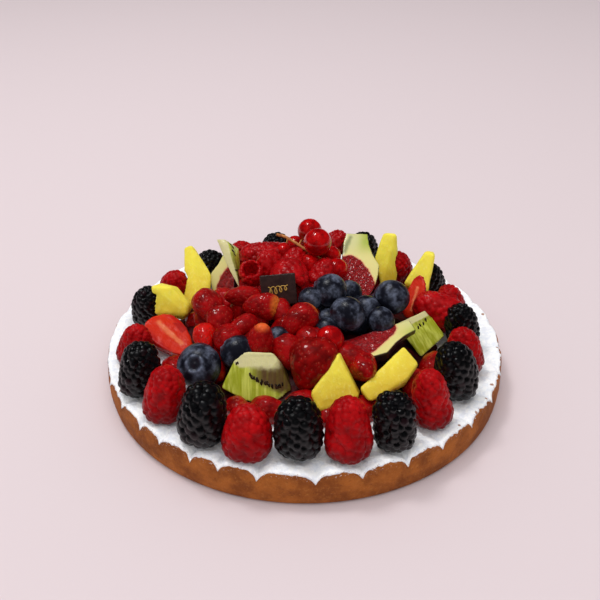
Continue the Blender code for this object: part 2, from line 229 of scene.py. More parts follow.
def closedGrid(grid):
    # points and faces of a closed skin: the first and last rows shrink to one point each
    rows, columns = grid.shape[0] - 2, grid.shape[1]
    points = np.concatenate([grid[:1].mean(1), grid[1:-1].reshape(-1, 3), grid[-1:].mean(1)])
    ring = np.arange(columns)
    after = np.roll(ring, -1)
    low = 1 + np.arange(rows - 1)[:, None] * columns
    quads = np.stack([low + ring, low + columns + ring, low + columns + after, low + after], -1)
    last = len(points) - 1
    top = np.stack([np.zeros_like(ring), 1 + ring, 1 + after], -1)
    bottom = np.stack([np.full_like(ring, last), last - columns + after, last - columns + ring], -1)
    return points, [quads.reshape(-1, 4), top, bottom]


def closedMark(values):
    # a value for each point of closedGrid
    return np.concatenate([[values[0].mean()], values[1:-1].ravel(), [values[-1].mean()]])


def loopGrid(grid):
    # points and faces of a skin that closes on itself both ways
    rows, columns = grid.shape[:2]
    ring = np.arange(columns)
    after = np.roll(ring, -1)
    low = np.arange(rows)[:, None] * columns
    high = np.roll(low, -1, axis=0)
    quads = np.stack([low + ring, high + ring, high + after, low + after], -1)
    return grid.reshape(-1, 3), [quads.reshape(-1, 4)]


def joined(bodies):
    # several (points, faces, marks) bodies as one
    points, quads, triangles, marks = [], [], [], {}
    start = 0
    for bodyPoints, faces, bodyMarks in bodies:
        points.append(bodyPoints)
        for block in faces:
            (quads if block.shape[1] == 4 else triangles).append(block + start)
        for key, values in bodyMarks.items():
            marks.setdefault(key, []).append(values)
        start += len(bodyPoints)
    faces = [np.concatenate(group) for group in (quads, triangles) if group]
    return np.concatenate(points), faces, {key: np.concatenate(v) for key, v in marks.items()}


def enclosed(points, faces):
    # six times the volume inside, negative when the faces look inwards
    total = 0.0
    for block in faces:
        for corner in range(1, block.shape[1] - 1):
            a, b, c = (points[block[:, i]] for i in (0, corner, corner + 1))
            total += np.einsum("ij,ij->i", a, np.cross(b, c)).sum()
    return total


def makePiece(name, points, faces, finish, nodes=(), marks=None, flatBelow=None):
    # a mesh object that rides on the tart; points are in mm
    if enclosed(points - points.mean(0), faces) < 0.0:
        faces = [block[:, ::-1] for block in faces]
    sizes = np.concatenate([np.full(len(block), block.shape[1]) for block in faces])
    corners = np.concatenate([block.ravel() for block in faces])
    mesh = bpy.data.meshes.new(name)
    mesh.vertices.add(len(points))
    mesh.vertices.foreach_set("co", (points * mm).astype(np.float32).ravel())
    mesh.loops.add(len(corners))
    mesh.loops.foreach_set("vertex_index", corners.astype(np.int32))
    mesh.polygons.add(len(sizes))
    starts = np.concatenate([[0], np.cumsum(sizes)[:-1]])
    mesh.polygons.foreach_set("loop_start", starts.astype(np.int32))
    mesh.update(calc_edges=True)
    mesh.polygons.foreach_set("use_smooth", np.ones(len(sizes), bool))
    for key, values in (marks or {}).items():
        layer = mesh.attributes.new(key, "FLOAT", "POINT")
        layer.data.foreach_set("value", values.astype(np.float32))
    mesh.materials.append(finish.material)
    piece = bpy.data.objects.new(name, mesh)
    bpy.context.scene.collection.objects.link(piece)
    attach(piece, "root")
    if nodes:
        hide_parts(*nodes)
    return piece


def nodeBox(name):
    low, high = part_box(name)
    return np.array(low) / mm, np.array(high) / mm


def nodeMiddle(name):
    low, high = nodeBox(name)
    return (low + high) / 2.0


def fitTo(points, name, nudge=(0, 0, 0), fill=1.0):
    # moves and scales points so that their box is the node's box
    low, high = nodeBox(name)
    middle = (points.min(0) + points.max(0)) / 2.0
    scale = (high - low) / (points.max(0) - points.min(0))
    scale = 1.0 + (np.clip(scale, 0.8, 1.25) - 1.0) * fill
    return (points - middle) * scale + (low + high) / 2.0 + nudge


def frameOf(axis, face=None, spin=0.0):
    # the three local directions, one per row: local +Z on axis, local -Y looking along face
    up = np.array(axis, float) / np.linalg.norm(axis)
    face = np.array(face if face is not None else (0.31, -0.9, 0.3), float)
    back = -(face - up * face.dot(up))
    back /= np.linalg.norm(back)
    side = np.cross(back, up)
    angle = math.radians(spin)
    right = side * math.cos(angle) + back * math.sin(angle)
    ahead = back * math.cos(angle) - side * math.sin(angle)
    return np.stack([right, ahead, up])


def stand(points, axis, face=None, spin=0.0):
    return points @ frameOf(axis, face, spin)


def toLine(points, start, end):
    # distance to a straight piece of line, and how far along it the nearest place lies
    start = np.array(start, float)
    way = np.array(end, float) - start
    share = np.clip((points - start) @ way / way.dot(way), 0.0, 1.0)
    return np.linalg.norm(points - start - share[:, None] * way, axis=1), share


def patchDepth(flat, corners):
    # how far inside a convex patch a flat point lies; negative outside it
    corners = np.array(corners, float)
    way = np.roll(corners, -1, axis=0) - corners
    inward = np.stack([-way[:, 1], way[:, 0]], 1) / np.linalg.norm(way, axis=1, keepdims=True)
    inward *= np.sign(((corners.mean(0) - corners) * inward).sum(1))[:, None]
    return ((flat[:, None] - corners) * inward).sum(-1).min(1)


def scattered(points, gap, rng):
    # indices of points that are about one gap apart: the most central one of each cell
    place = points / gap + rng.uniform(0.0, 1.0, 3)
    cell = np.floor(place)
    off = np.linalg.norm(place - cell - 0.5, axis=1)
    order = np.argsort(off)
    first = np.unique(cell[order], axis=0, return_index=True)[1]
    chosen = order[first]
    return chosen[off[chosen] < 0.42]


def spread(profile, count, rng, jitter=0.0):
    # places over a turned surface: equal areas, each a golden angle on from the last
    length = np.linalg.norm(np.diff(profile, axis=0), axis=1)
    area = length * (profile[1:, 0] + profile[:-1, 0]) * math.pi
    total = np.concatenate([[0.0], np.cumsum(area)])
    share = (np.arange(count) + 0.5) / count
    row = np.interp(share * total[-1], total, np.arange(len(profile)))
    row = row + rng.normal(0.0, jitter * 2.0, count)
    radius = np.interp(row, np.arange(len(profile)), profile[:, 0])
    height = np.interp(row, np.arange(len(profile)), profile[:, 1])
    angle = np.arange(count) * goldenAngle + rng.normal(0.0, jitter, count)
    places = np.stack([radius * np.cos(angle), radius * np.sin(angle), height], 1)
    return places, total[-1]


def nearest(points, places, scale):
    # scaled distance to the nearest and the next nearest place, and which one it is
    gap = np.linalg.norm(points[:, None, :] - places[None, :, :], axis=2) * scale
    order = np.argpartition(gap, 1, axis=1)[:, :2]
    pair = np.take_along_axis(gap, order, axis=1)
    swap = pair[:, 0] > pair[:, 1]
    which = np.where(swap, order[:, 1], order[:, 0])
    return pair.min(1), pair.max(1), which


def tube(path, radii, sides=12):
    # a round profile carried along a path, with closed ends
    path = np.array(path, float)
    along = np.gradient(path, axis=0)
    along /= np.linalg.norm(along, axis=1, keepdims=True)
    side = np.cross(along, (0.2, 0.3, 1.0))
    side /= np.linalg.norm(side, axis=1, keepdims=True)
    other = np.cross(along, side)
    angle = np.linspace(0.0, 2.0 * math.pi, sides, endpoint=False)[None, :, None]
    ring = side[:, None] * np.cos(angle) + other[:, None] * np.sin(angle)
    body = path[:, None] + ring * np.array(radii, float)[:, None, None]
    ends = [np.repeat(path[i][None, None], sides, axis=1) for i in (0, -1)]
    return closedGrid(np.concatenate([ends[0], body, ends[1]]))


def curveThrough(points, count):
    # a smooth path through a few points (Catmull-Rom), with even spacing
    points = np.array(points, float)
    padded = np.concatenate([2 * points[:1] - points[1:2], points, 2 * points[-1:] - points[-2:-1]])
    t = np.linspace(0.0, 1.0, 24, endpoint=False)[:, None]
    parts = []
    for a, b, c, d in zip(padded, padded[1:], padded[2:], padded[3:]):
        parts.append(0.5 * (2 * b + (c - a) * t + (2 * a - 5 * b + 4 * c - d) * t ** 2
                            + (3 * b - a - 3 * c + d) * t ** 3))
    parts.append(points[-1:])
    return evenly(np.concatenate(parts), count)


# pastry case

crustLook = {
    "radius": 100.0, "crest": 17.3, "unevenCrest": 0.35,
    # middles of the notches between the scallops of the rim, counted from the front
    # towards the right
    "notches": [2.4, 13.8, 25.8, 36.6, 48.6, 61.0, 73.0, 85.5, 97.5, 110.0, 122.0, 134.5, 146.5,
                159.0, 171.0, 183.0, 195.5, 207.0, 219.5, 231.5, 244.0, 256.0, 268.0, 280.0, 291.0,
                302.0, 312.4, 320.3, 330.4, 338.3, 348.2],
    "notchDepth": 2.9, "scallopPower": 3.5, "lipStart": 97.6, "lip": 1.0,
    "bake": (172, 98, 38), "dark": (130, 68, 24), "light": (192, 126, 62), "pitShade": (98, 50, 22),
}


def scallop(angle):
    # -1 to 1 from each notch of the rim to the next, 0 in the middle of a scallop
    notches = np.array(crustLook["notches"])
    notches = np.concatenate([notches[-1:] - 360.0, notches, notches[:1] + 360.0])
    turned = np.degrees(angle) % 360.0
    after = np.clip(np.searchsorted(notches, turned), 1, len(notches) - 1)
    low, high = notches[after - 1], notches[after]
    return 2.0 * (turned - low) / (high - low) - 1.0


def rimHeight(angle):
    # top of the pastry: the crest less a high power of the way to the nearest notch
    ring = np.stack([np.cos(angle), np.sin(angle), np.zeros_like(angle)], -1) * 100.0
    uneven = crustLook["unevenCrest"] * softNoise(ring, 26.0, 5)
    depth = crustLook["notchDepth"] * (1.0 + 0.35 * softNoise(ring, 14.0, 6))
    return crustLook["crest"] + uneven - depth * np.abs(scallop(angle)) ** crustLook["scallopPower"]


def pastryTop(radius, angle):
    # height of the pastry's upper side: flat, then rounded down at the lip
    over = np.clip(radius - crustLook["lipStart"], 0.0, None) / 2.0
    return rimHeight(angle) - crustLook["lip"] * over ** 2


def makeCrust():
    columns = 1100
    angle = np.linspace(0.0, 2.0 * math.pi, columns, endpoint=False)
    top = pastryTop(np.full(columns, 99.5), angle) - 0.1
    # profile of the case: across the underside, up the wall, over the lip, down inside
    rows = [(np.full(columns, radius), np.zeros(columns)) for radius in (0.0, 30.0, 60.0, 85.0, 95.0)]
    for inset, height in ((2.2, 0.0), (1.3, 0.25), (0.9, 0.9), (0.6, 1.8)):
        rows.append((np.full(columns, 100.0 - inset), np.full(columns, height)))
    for share in np.linspace(0.16, 1.0, 26):
        bulge = 0.55 * math.sin(share * math.pi)
        rows.append((np.full(columns, 99.42 + bulge - 0.25 * share), 1.0 + (top - 1.0) * share))
    for radius in np.linspace(99.0, 95.4, 9):
        ring = np.full(columns, radius)
        rows.append((ring, pastryTop(ring, angle)))
    for radius, drop in ((94.6, 0.7), (93.8, 2.4), (93.2, 6.0)):
        rows.append((np.full(columns, radius), rimHeight(angle) - drop))
    rows += [(np.full(columns, radius), np.full(columns, 4.0)) for radius in (92.0, 70.0, 35.0, 0.0)]
    radius = np.stack([row[0] for row in rows])
    height = np.stack([row[1] for row in rows])
    grid = np.stack([radius * np.sin(angle), -radius * np.cos(angle), height], -1)
    wall = step(radius, 95.0, 98.0) * step(height, 0.5, 3.0)
    rough = softNoise(grid, 9.0, 3, 2) * 0.3 + softNoise(grid, 2.4, 4, 3) * 0.2
    ray = np.stack([np.sin(angle), -np.cos(angle), np.zeros(columns)], -1)
    grid = grid + ray * ((rough - 0.1) * wall)[..., None]
    grid[..., 2] = np.maximum(grid[..., 2], 0.0)
    points, faces = closedGrid(grid)
    rise = closedMark(height / np.maximum(top, 1.0))
    makePiece("pastry_case", points, faces, crustFinish(), ["crust"], {"rise": rise})


def crustFinish():
    # baked brown in soft blotches, darker under the rim, fine crumb, and painted shade in the small pits
    look = Finish("baked_shortcrust", Roughness=0.8, Specular_IOR_Level=0.25)
    rise = look.mark("rise")
    blotch = look.noise(12.0, 4.0, 0.6)
    grain = look.noise(1.3, 4.0, 0.65)
    pits = look.noise(0.9, 2.0, 0.5)
    shade = look.mix(blotch.between(0.36, 0.64), tint(*crustLook["dark"]), tint(*crustLook["bake"]))
    shade = look.mix(grain.between(0.5, 0.78) * 0.5, shade, tint(*crustLook["light"]))
    shade = look.mix(rise.between(0.8, 1.0) * blotch.between(0.4, 0.6) * 0.4, shade, tint(*crustLook["dark"]))
    # painted shade: dark brown in the pits of the bump
    shade = look.mix((1.0 - pits.between(0.26, 0.38)) * 0.55, shade, tint(*crustLook["pitShade"]))
    dust = look.noise(0.8, 3.0, 0.7).between(0.6, 0.68) * rise.between(0.86, 1.0)
    shade = look.mix(dust * 0.8, shade, tint(238, 234, 230))
    look.feed(Base_Color=shade)
    look.bump(blotch * 0.4 + grain * 0.4 + pits * 0.3, 1.0)
    return look


# filling and sugar

fillingLook = {
    "border": 15.0, "moundRadius": 72.0, "moundRise": 14.5, "radius": 92.7,
    # the mound's red and near-black dark: partly juice, partly painted shade in the gaps between the fruit
    "cream": (226, 206, 160), "juiceAndGapShade": (70, 6, 12), "dark": (26, 4, 8),
}
sugarLook = {
    "inner": 56.0, "thickness": 0.85, "arcEdge": 98.9, "notchEdge": 100.1, "drape": 1.1,
    "white": (255, 255, 255), "shadow": (236, 239, 246), "through": (150, 92, 52),
    # bare spots of pastry in the sugar: degrees from the front, radius, size
    "spots": [(84.0, 97.5, 1.3), (72.5, 97.2, 1.1), (65.0, 97.0, 1.2), (59.0, 97.6, 1.0),
              (44.5, 96.8, 1.1), (52.0, 97.9, 0.9), (101.0, 97.0, 1.2), (-62.0, 97.4, 0.8)],
}


def makeFilling():
    # flat to the foot of the mound, then a dome: border height plus rise times one minus
    # the square of the share of the mound's radius, with lumps
    outer = np.linspace(fillingLook["radius"], 0.0, 90)
    floor = np.array([[0.0, 4.3], [40.0, 4.3], [80.0, 4.3], [91.2, 4.3], [92.4, 9.0]])
    share = np.minimum(outer / fillingLook["moundRadius"], 1.0)
    top = fillingLook["border"] - 0.6 + (fillingLook["moundRise"] - 0.6) * (1.0 - share ** 2)
    profile = np.concatenate([floor, np.stack([outer, top], 1)])
    grid = turn(profile, 360)
    lumps = np.clip(softNoise(grid, 7.0, 21, 2), -0.6, 1.0)
    inside = 1.0 - step(np.linalg.norm(grid[..., :2], axis=-1), 58.0, 70.0)
    grid[5:, :, 2] += (lumps * 1.2 * inside)[5:]
    points, faces = closedGrid(grid)
    look = Finish("filling", Roughness=0.55, Specular_IOR_Level=0.3)
    away = look.node("ShaderNodeVectorMath", {"operation": "LENGTH"}, {0: look.place()}, "Value")
    mottle = look.noise(5.0, 3.0)
    # the mound: juice red mottled with near-black, painted shade for the gaps between the fruit; cream outside it
    red = look.mix(mottle.between(0.35, 0.7), tint(*fillingLook["juiceAndGapShade"]), tint(*fillingLook["dark"]))
    look.feed(Base_Color=look.mix(away.between(0.074, 0.082), red, tint(*fillingLook["cream"])))
    look.bump(mottle, 0.8)
    makePiece("filling_and_juice", points, faces, look, ["filling"])


def makeSugar():
    # one closed skin: a top that runs from under the heap out over the border to a
    # ragged edge on the rim, and an underside just below it
    columns, across = 1400, 51
    angle = np.linspace(0.0, 2.0 * math.pi, columns, endpoint=False)
    ring = np.stack([np.sin(angle), -np.cos(angle), np.zeros(columns)], -1) * 100.0
    notch = np.abs(scallop(angle)) ** 7.0
    # rougher where the right front of the rim has lost sugar
    worn = step(angle, 0.05, 0.4) * (1.0 - step(angle, 1.5, 2.0))
    ragged = (softNoise(ring, 1.9, 31, 2) * (0.4 + 0.45 * worn)
              + softNoise(ring, 6.0, 32) * 0.25 - 0.35 * worn)
    edge = sugarLook["arcEdge"] + (sugarLook["notchEdge"] - sugarLook["arcEdge"]) * notch
    edge = edge + ragged * (1.0 - 0.6 * notch)
    share = np.linspace(0.0, 1.0, across)[:, None] ** 0.6
    radius = sugarLook["inner"] + (edge - sugarLook["inner"]) * share
    near = step(radius, 88.0, 95.6)
    bed = 15.3 * (1.0 - near) + (pastryTop(np.minimum(radius, 99.4), angle) - 0.1) * near
    bed = bed - sugarLook["drape"] * step(radius, 98.7, 100.2) * notch
    flat = np.stack([radius * np.sin(angle), -radius * np.cos(angle), np.zeros_like(radius)], -1)
    powder = softNoise(flat, 5.0, 41, 2) * 0.5 + softNoise(flat, 1.3, 42, 3) * 0.42
    fine = softNoise(flat, 1.1, 43, 2) * 0.16
    taper = np.clip((edge - radius) / 1.3, 0.0, 1.0) ** 0.7
    height = bed + 0.12 + (sugarLook["thickness"] * (0.7 + 0.6 * powder) + fine) * taper
    upper = np.stack([flat[..., 0], flat[..., 1], np.maximum(height, bed + 0.1)], -1)
    under = np.stack([flat[..., 0], flat[..., 1], bed - 0.7], -1)[::-1][2::9]
    points, faces = loopGrid(np.concatenate([upper, under]))
    spots = np.array(sugarLook["spots"])
    turnTo = np.radians(spots[:, 0])
    middles = np.stack([np.sin(turnTo) * spots[:, 1], -np.cos(turnTo) * spots[:, 1]], 1)
    gap = (np.linalg.norm(points[:, None, :2] - middles, axis=2) / spots[:, 2]).min(1)
    rim = np.concatenate([edge - radius, np.zeros(under.shape[:2])]).ravel()
    makePiece("icing_sugar", points, faces, sugarFinish(), (), {"bare": gap, "rim": rim})


def sugarFinish():
    # white powder: cooler in the hollows, thin and speckled with pastry near its edge
    look = Finish("icing_sugar", Roughness=0.95, Specular_IOR_Level=0.1)
    fine = look.noise(0.6, 3.0, 0.7)
    broad = look.noise(3.5, 4.0, 0.7)
    shade = look.mix(broad.between(0.36, 0.6), tint(*sugarLook["shadow"]), tint(*sugarLook["white"]))
    rim = look.mark("rim")
    speckle = look.noise(0.9, 4.0, 0.7)
    thin = speckle.between(0.56, 0.64) * (1.0 - rim.between(0.1, 1.3))
    spots = 1.0 - (look.mark("bare") + speckle * 1.6 - 0.8).between(0.5, 0.9)
    shade = look.mix(thin * 0.7, shade, tint(*sugarLook["through"]))
    shade = look.mix(spots * 0.85, shade, tint(*sugarLook["through"]))
    look.feed(Base_Color=shade)
    look.bump(fine * 0.6 + broad * 0.4, 0.55)
    return look


makeCrust()
makeFilling()
makeSugar()
print("case, filling and sugar made")


# drupelet berries

raspberryLook = {
    "columns": 108, "rings": 78, "drupelets": 215, "depth": 0.56, "jitter": 0.17,
    # deep: darker patches and painted shade in the creases; low: painted shade towards the bottom
    "reach": 0.76, "round": 0.75, "red": (156, 2, 7), "deep": (104, 1, 4), "light": (186, 10, 17),
    "low": (76, 1, 4), "lowShade": 0.8,
}
brambleLook = {
    "columns": 124, "rings": 88, "drupelets": 138, "depth": 0.88, "jitter": 0.1,
    "reach": 0.68, "round": 0.55, "black": (9, 9, 11), "wine": (40, 8, 18), "bloom": (24, 25, 30),
}


def berryOutline(width, height, taper, square=0.72, seat=0.34, hollow=0.0):
    # radius: sine of the polar angle to a power (another one below the middle, for a
    # flatter seat), times a half width that tapers to the tip; height: cosine to a
    # power; the base can turn in to a hollow
    polar = np.linspace(0.0, math.pi, 400)
    level = np.sign(np.cos(polar)) * np.abs(np.cos(polar)) ** 0.82
    radius = np.sin(polar) ** np.where(level < 0.0, seat, square) * (0.93 - taper * level)
    line = np.stack([radius * width / 2.0, level * height / 2.0], 1)
    if hollow:
        keep = line[: int(400 * 0.86)]
        rim = keep[-1]
        inward = np.linspace(0.0, 1.0, 60)[1:, None]
        radius = rim[0] * (1.0 - 0.12 * np.sin(inward * math.pi)) * np.cos(inward * math.pi / 2) ** 0.6
        height = rim[1] - 1.2 * np.sin(inward * math.pi) + hollow * step(inward, 0.1, 1.0)
        line = np.concatenate([keep, np.concatenate([radius, height], 1)])
    return line


def drupeletBerry(width, height, look, seed, taper, hollow=0.0, waist=0.0, detail=1.0):
    # a turned body whose surface swells into a dome over each drupelet: one minus the
    # squared distance to its middle, raised to a power
    rng = np.random.default_rng(seed)
    bump = look["depth"]
    line = berryOutline(width - 1.1 * bump, height - 1.1 * bump, taper, hollow=hollow)
    line[:, 0] *= 1.0 - waist * np.exp(-((line[:, 1] + 0.08 * height) / (0.13 * height)) ** 2)
    profile = evenly(line, int(look["rings"] * detail))
    grid = turn(profile, int(look["columns"] * detail))
    normal = outward(grid)
    places, area = spread(profile, look["drupelets"], rng, look["jitter"])
    spacing = math.sqrt(area / look["drupelets"])
    scale = rng.uniform(0.9, 1.12, len(places))
    near, second, which = nearest(grid.reshape(-1, 3), places, scale)
    dome = np.clip(1.0 - (near / (look["reach"] * spacing)) ** 2, 0.0, 1.0) ** look["round"]
    lift = rng.uniform(-0.22, 0.22, len(places))[which] * dome
    swell = bump * (1.75 * dome - 1.0 + lift)
    swell = swell.reshape(grid.shape[:2])
    fade = 1.0 - step(-profile[:, 1], height * 0.44, height * 0.52) * 0.5
    grid = grid + normal * (swell * fade[:, None])[..., None]
    slow = softNoise(grid + seed * 31.0, width * 0.55, seed) * 0.035 * width
    grid = grid + normal * slow[..., None]
    crease = np.clip((second - near) / (0.45 * spacing), 0.0, 1.0).reshape(grid.shape[:2])
    tone = rng.uniform(0.0, 1.0, len(places))[which].reshape(grid.shape[:2])
    points, faces = closedGrid(grid)
    return points, faces, {"crease": closedMark(crease), "tone": closedMark(tone)}


def raspberryFinish(name, brightness=1.0, glazed=0.0):
    # red drupelets of slightly different tones, painted shade in the creases and towards the bottom, a downy sheen
    look = Finish(name, Roughness=0.32, Specular_IOR_Level=0.14, Subsurface_Weight=0.1,
                  Subsurface_Scale=0.002, Sheen_Weight=0.02, Sheen_Roughness=0.4,
                  Coat_Weight=glazed, Coat_Roughness=0.2)
    look.shader.inputs["Subsurface Radius"].default_value = (1.0, 0.12, 0.08)
    look.shader.inputs["Sheen Tint"].default_value = tint(255, 150, 150)
    red, light, deep = ([value * brightness for value in raspberryLook[key]]
                        for key in ("red", "light", "deep"))
    shade = look.mix(look.mark("tone") * 0.7, tint(*red), tint(*light))
    shade = look.mix(look.noise(6.0, 2.0).between(0.35, 0.7) * 0.5, shade, tint(*deep))
    # painted shade: deep red in the creases
    shade = look.mix(look.mark("crease").between(-0.3, 0.35), tint(*deep), shade)
    # painted shade towards the bottom of the berries, below 20 to 36 mm
    height = look.node("ShaderNodeSeparateXYZ", None, {0: look.place()}, "Z")
    low = (height + look.noise(8.0, 2.0) * 0.006).between(0.036, 0.02)
    shade = look.mix(low * raspberryLook["lowShade"], shade, tint(*raspberryLook["low"]))
    look.feed(Base_Color=shade)
    look.bump(look.noise(0.5, 2.0), 0.12)
    return look


def brambleFinish():
    # near black, some drupelets wine red, painted shade in the creases, wet gloss with duller ones among them
    look = Finish("bramble", Specular_IOR_Level=0.35)
    tone = look.mark("tone")
    crease = look.mark("crease")
    shade = look.mix(tone.between(0.9, 0.99) * 0.45, tint(*brambleLook["black"]),
                     tint(*brambleLook["wine"]))
    haze = look.noise(4.0, 3.0).between(0.45, 0.75) * 0.35
    shade = look.mix(haze, shade, tint(*brambleLook["bloom"]))
    # painted shade: almost black in the creases
    shade = look.mix(crease.between(0.0, 0.5), tint(4, 3, 5), shade)
    look.feed(Base_Color=shade, Roughness=0.24 + tone.between(0.0, 0.6) * 0.14)
    look.bump(look.noise(0.9, 2.0), 0.08)
    return look


raspberrySkin = raspberryFinish("raspberry")
raspberryInner = raspberryFinish("raspberry_glazed", 1.0, 0.15)
brambleSkin = brambleFinish()
ringLean = math.radians(10.0)
# how far the soft berries spread beyond their boxes: raspberries, then brambles
berrySpread = ((1.07, 1.07, 0.95), (1.05, 1.05, 0.99))
for index in range(22):
    isBramble = index % 2 == 0
    node = f"{'bramble' if isBramble else 'raspberry'}_outer_{index:02d}"
    low, high = nodeBox(node)
    middle = (low + high) / 2.0
    outwardWay = middle * (1.0, 1.0, 0.0) / np.linalg.norm(middle[:2])
    axis = np.array([0.0, 0.0, math.cos(ringLean)]) - outwardWay * math.sin(ringLean)
    tall = (high - low)[2]
    wide = (high - low)[:2].mean()
    look = brambleLook if isBramble else raspberryLook
    taper = 0.07 if isBramble else 0.2
    points, faces, marks = drupeletBerry(wide, tall, look, 100 + index, taper,
                                         waist=0.09 if index == 3 else 0.0)
    points = fitTo(stand(points, axis, spin=37.0 * index), node)
    seat = np.array([middle[0], middle[1], low[2]])
    points = (points - seat) * (berrySpread[isBramble]) + seat
    kind = "bramble" if isBramble else "raspberry"
    makePiece(f"{kind}_ring_{index:02d}", points, faces,
              brambleSkin if isBramble else raspberrySkin, [node], marks)
print("outer berries made")

# name, width, height, way of the tip, depth of the hollow
heapRaspberries = {
    "raspberry_back": (17.5, 25.0, (-1.0, 0.0, 0.05), 0.0, 0.14),
    "raspberry_left": (15.5, 17.0, (0.1, 0.6, -1.0), 9.0, 0.1),
    "raspberry_open": (23.0, 21.0, (0.0, 0.8, 0.3), 12.0, 0.05),
    "raspberry_right": (21.0, 26.0, (-0.9, 0.35, 0.2), 12.0, 0.1),
}
for index, (node, (wide, tall, axis, hollow, taper)) in enumerate(heapRaspberries.items()):
    points, faces, marks = drupeletBerry(wide, tall, raspberryLook, 300 + index, taper, hollow)
    points = fitTo(stand(points, axis), node)
    makePiece(node.replace("raspberry_", "raspberry_heap_"), points, faces, raspberryInner,
              [node], marks)
print("raspberries in the heap made")


# strawberries

strawberryLook = {
    "columns": 120, "rings": 84, "red": (142, 3, 2), "deep": (92, 1, 1),
    "bright": (206, 30, 24), "seed": (166, 50, 26), "seedDark": (116, 26, 14),
}


def strawberryOutline(width, length):
    # broad shoulders at the bottom, a blunt tip at the top
    polar = np.linspace(0.0, math.pi, 300)
    level = np.cos(polar)
    radius = np.sin(polar) ** 0.8 * (0.86 - 0.26 * level)
    return np.stack([radius * width / 2.0, level * length / 2.0], 1)


def seedBodies(places, normals, ups, size):
    # small pointed ellipsoids lying on a surface, long side along ups
    angle = np.linspace(0.0, 2.0 * math.pi, 6, endpoint=False)
    polar = np.linspace(0.0, math.pi, 6)
    ring = np.sin(polar) ** 0.85
    base = np.stack([np.outer(ring, np.cos(angle)) * size[0], np.outer(ring, np.sin(angle)) * size[2],
                     np.outer(np.cos(polar), np.ones(6)) * size[1]], -1)
    points, faces = closedGrid(base)
    sides = np.cross(ups, normals)
    turned = (points[None, :, :1] * sides[:, None] + points[None, :, 1:2] * normals[:, None]
              + points[None, :, 2:] * ups[:, None] + places[:, None])
    starts = (np.arange(len(places)) * len(points))[:, None, None]
    faces = [(block[None] + starts).reshape(-1, block.shape[1]) for block in faces]
    return turned.reshape(-1, 3), faces


def strawberryBody(width, length, seeds, seed, seedSize=0.5, detail=1.0):
    # a turned body with a dimple around each seed: depth falls off as a bell of the
    # distance to the seed
    rng = np.random.default_rng(seed)
    columns = int(strawberryLook["columns"] * detail)
    profile = evenly(strawberryOutline(width, length), int(strawberryLook["rings"] * detail))
    grid = turn(profile, columns)
    slow = softNoise(grid + seed * 17.0, width * 0.5, seed, 2) * 0.07 * width
    grid = grid + outward(grid) * slow[..., None]
    normal = outward(grid)
    flat = grid.reshape(-1, 3)
    places, area = spread(profile, seeds, rng, 0.22)
    near, second, which = nearest(flat, places, np.ones(len(places)))
    spacing = math.sqrt(area / seeds)
    dimple = np.exp(-(near / (0.3 * spacing)) ** 2)
    grid = grid - normal * (dimple * 0.16 * spacing).reshape(grid.shape[:2])[..., None]
    index = np.argmin(np.linalg.norm(flat[:, None] - places[None], axis=2), axis=0)
    seat = grid.reshape(-1, 3)[index]
    normals = normal.reshape(-1, 3)[index]
    ups = np.array([0.0, 0.0, 1.0]) - normals * normals[:, 2:]
    ups /= np.maximum(np.linalg.norm(ups, axis=1, keepdims=True), 1e-6)
    points, faces = closedGrid(grid)
    along = closedMark(np.broadcast_to(profile[:, 1:2] / length + 0.5, grid.shape[:2]))
    inside = np.abs(profile[:, 1][index // columns]) < length * 0.47
    sizes = (seedSize, seedSize * 1.6, seedSize * 0.6)
    seedPoints, seedFaces = seedBodies(seat[inside], normals[inside], ups[inside], sizes)
    return (points, faces, {"along": along, "dimple": closedMark(dimple.reshape(grid.shape[:2]))},
            seedPoints, seedFaces)


def strawberryFinish(name, red, deep, tipColour=None, shoulderColour=None):
    # glazed red, deeper in patches, with a paler ring round each seed
    look = Finish(name, Roughness=0.4, Specular_IOR_Level=0.12, Coat_Weight=0.45,
                  Coat_Roughness=0.07, Subsurface_Weight=0.08, Subsurface_Scale=0.002)
    look.shader.inputs["Subsurface Radius"].default_value = (1.0, 0.15, 0.08)
    along = look.mark("along")
    dimple = look.mark("dimple")
    patches = look.noise(6.0, 3.0).between(0.3, 0.7)
    shade = look.mix(patches, tint(*deep), tint(*red))
    shade = look.mix(dimple.between(0.1, 0.6) * 0.12, shade, tint(*strawberryLook["bright"]))
    if tipColour:
        shade = look.mix(along.between(0.84, 1.0), shade, tint(*tipColour))
    if shoulderColour:
        shade = look.mix((1.0 - along.between(0.0, 0.14)), shade, tint(*shoulderColour))
    look.feed(Base_Color=shade)
    look.bump(look.noise(0.8, 2.0), 0.15)
    return look


seedFinish = Finish("strawberry_seeds", Roughness=0.35, Coat_Weight=0.6, Coat_Roughness=0.1)
seedShade = seedFinish.noise(1.5, 2.0).between(0.35, 0.65)
seedFinish.feed(Base_Color=seedFinish.mix(seedShade, tint(*strawberryLook["seed"]), tint(*strawberryLook["seedDark"])))
darkBerry = strawberryFinish("wild_strawberry", (160, 4, 7), (106, 1, 3))
shoulderBerry = strawberryFinish("wild_strawberry_shoulder", (160, 4, 7), (106, 1, 3), None, (206, 104, 36))
tipBerry = strawberryFinish("wild_strawberry_tip", (156, 6, 8), (104, 2, 5), (214, 92, 40))
brightBerry = strawberryFinish("strawberry", strawberryLook["red"], strawberryLook["deep"])
hotBerry = strawberryFinish("wild_strawberry_bright", (206, 16, 8), (160, 6, 6))
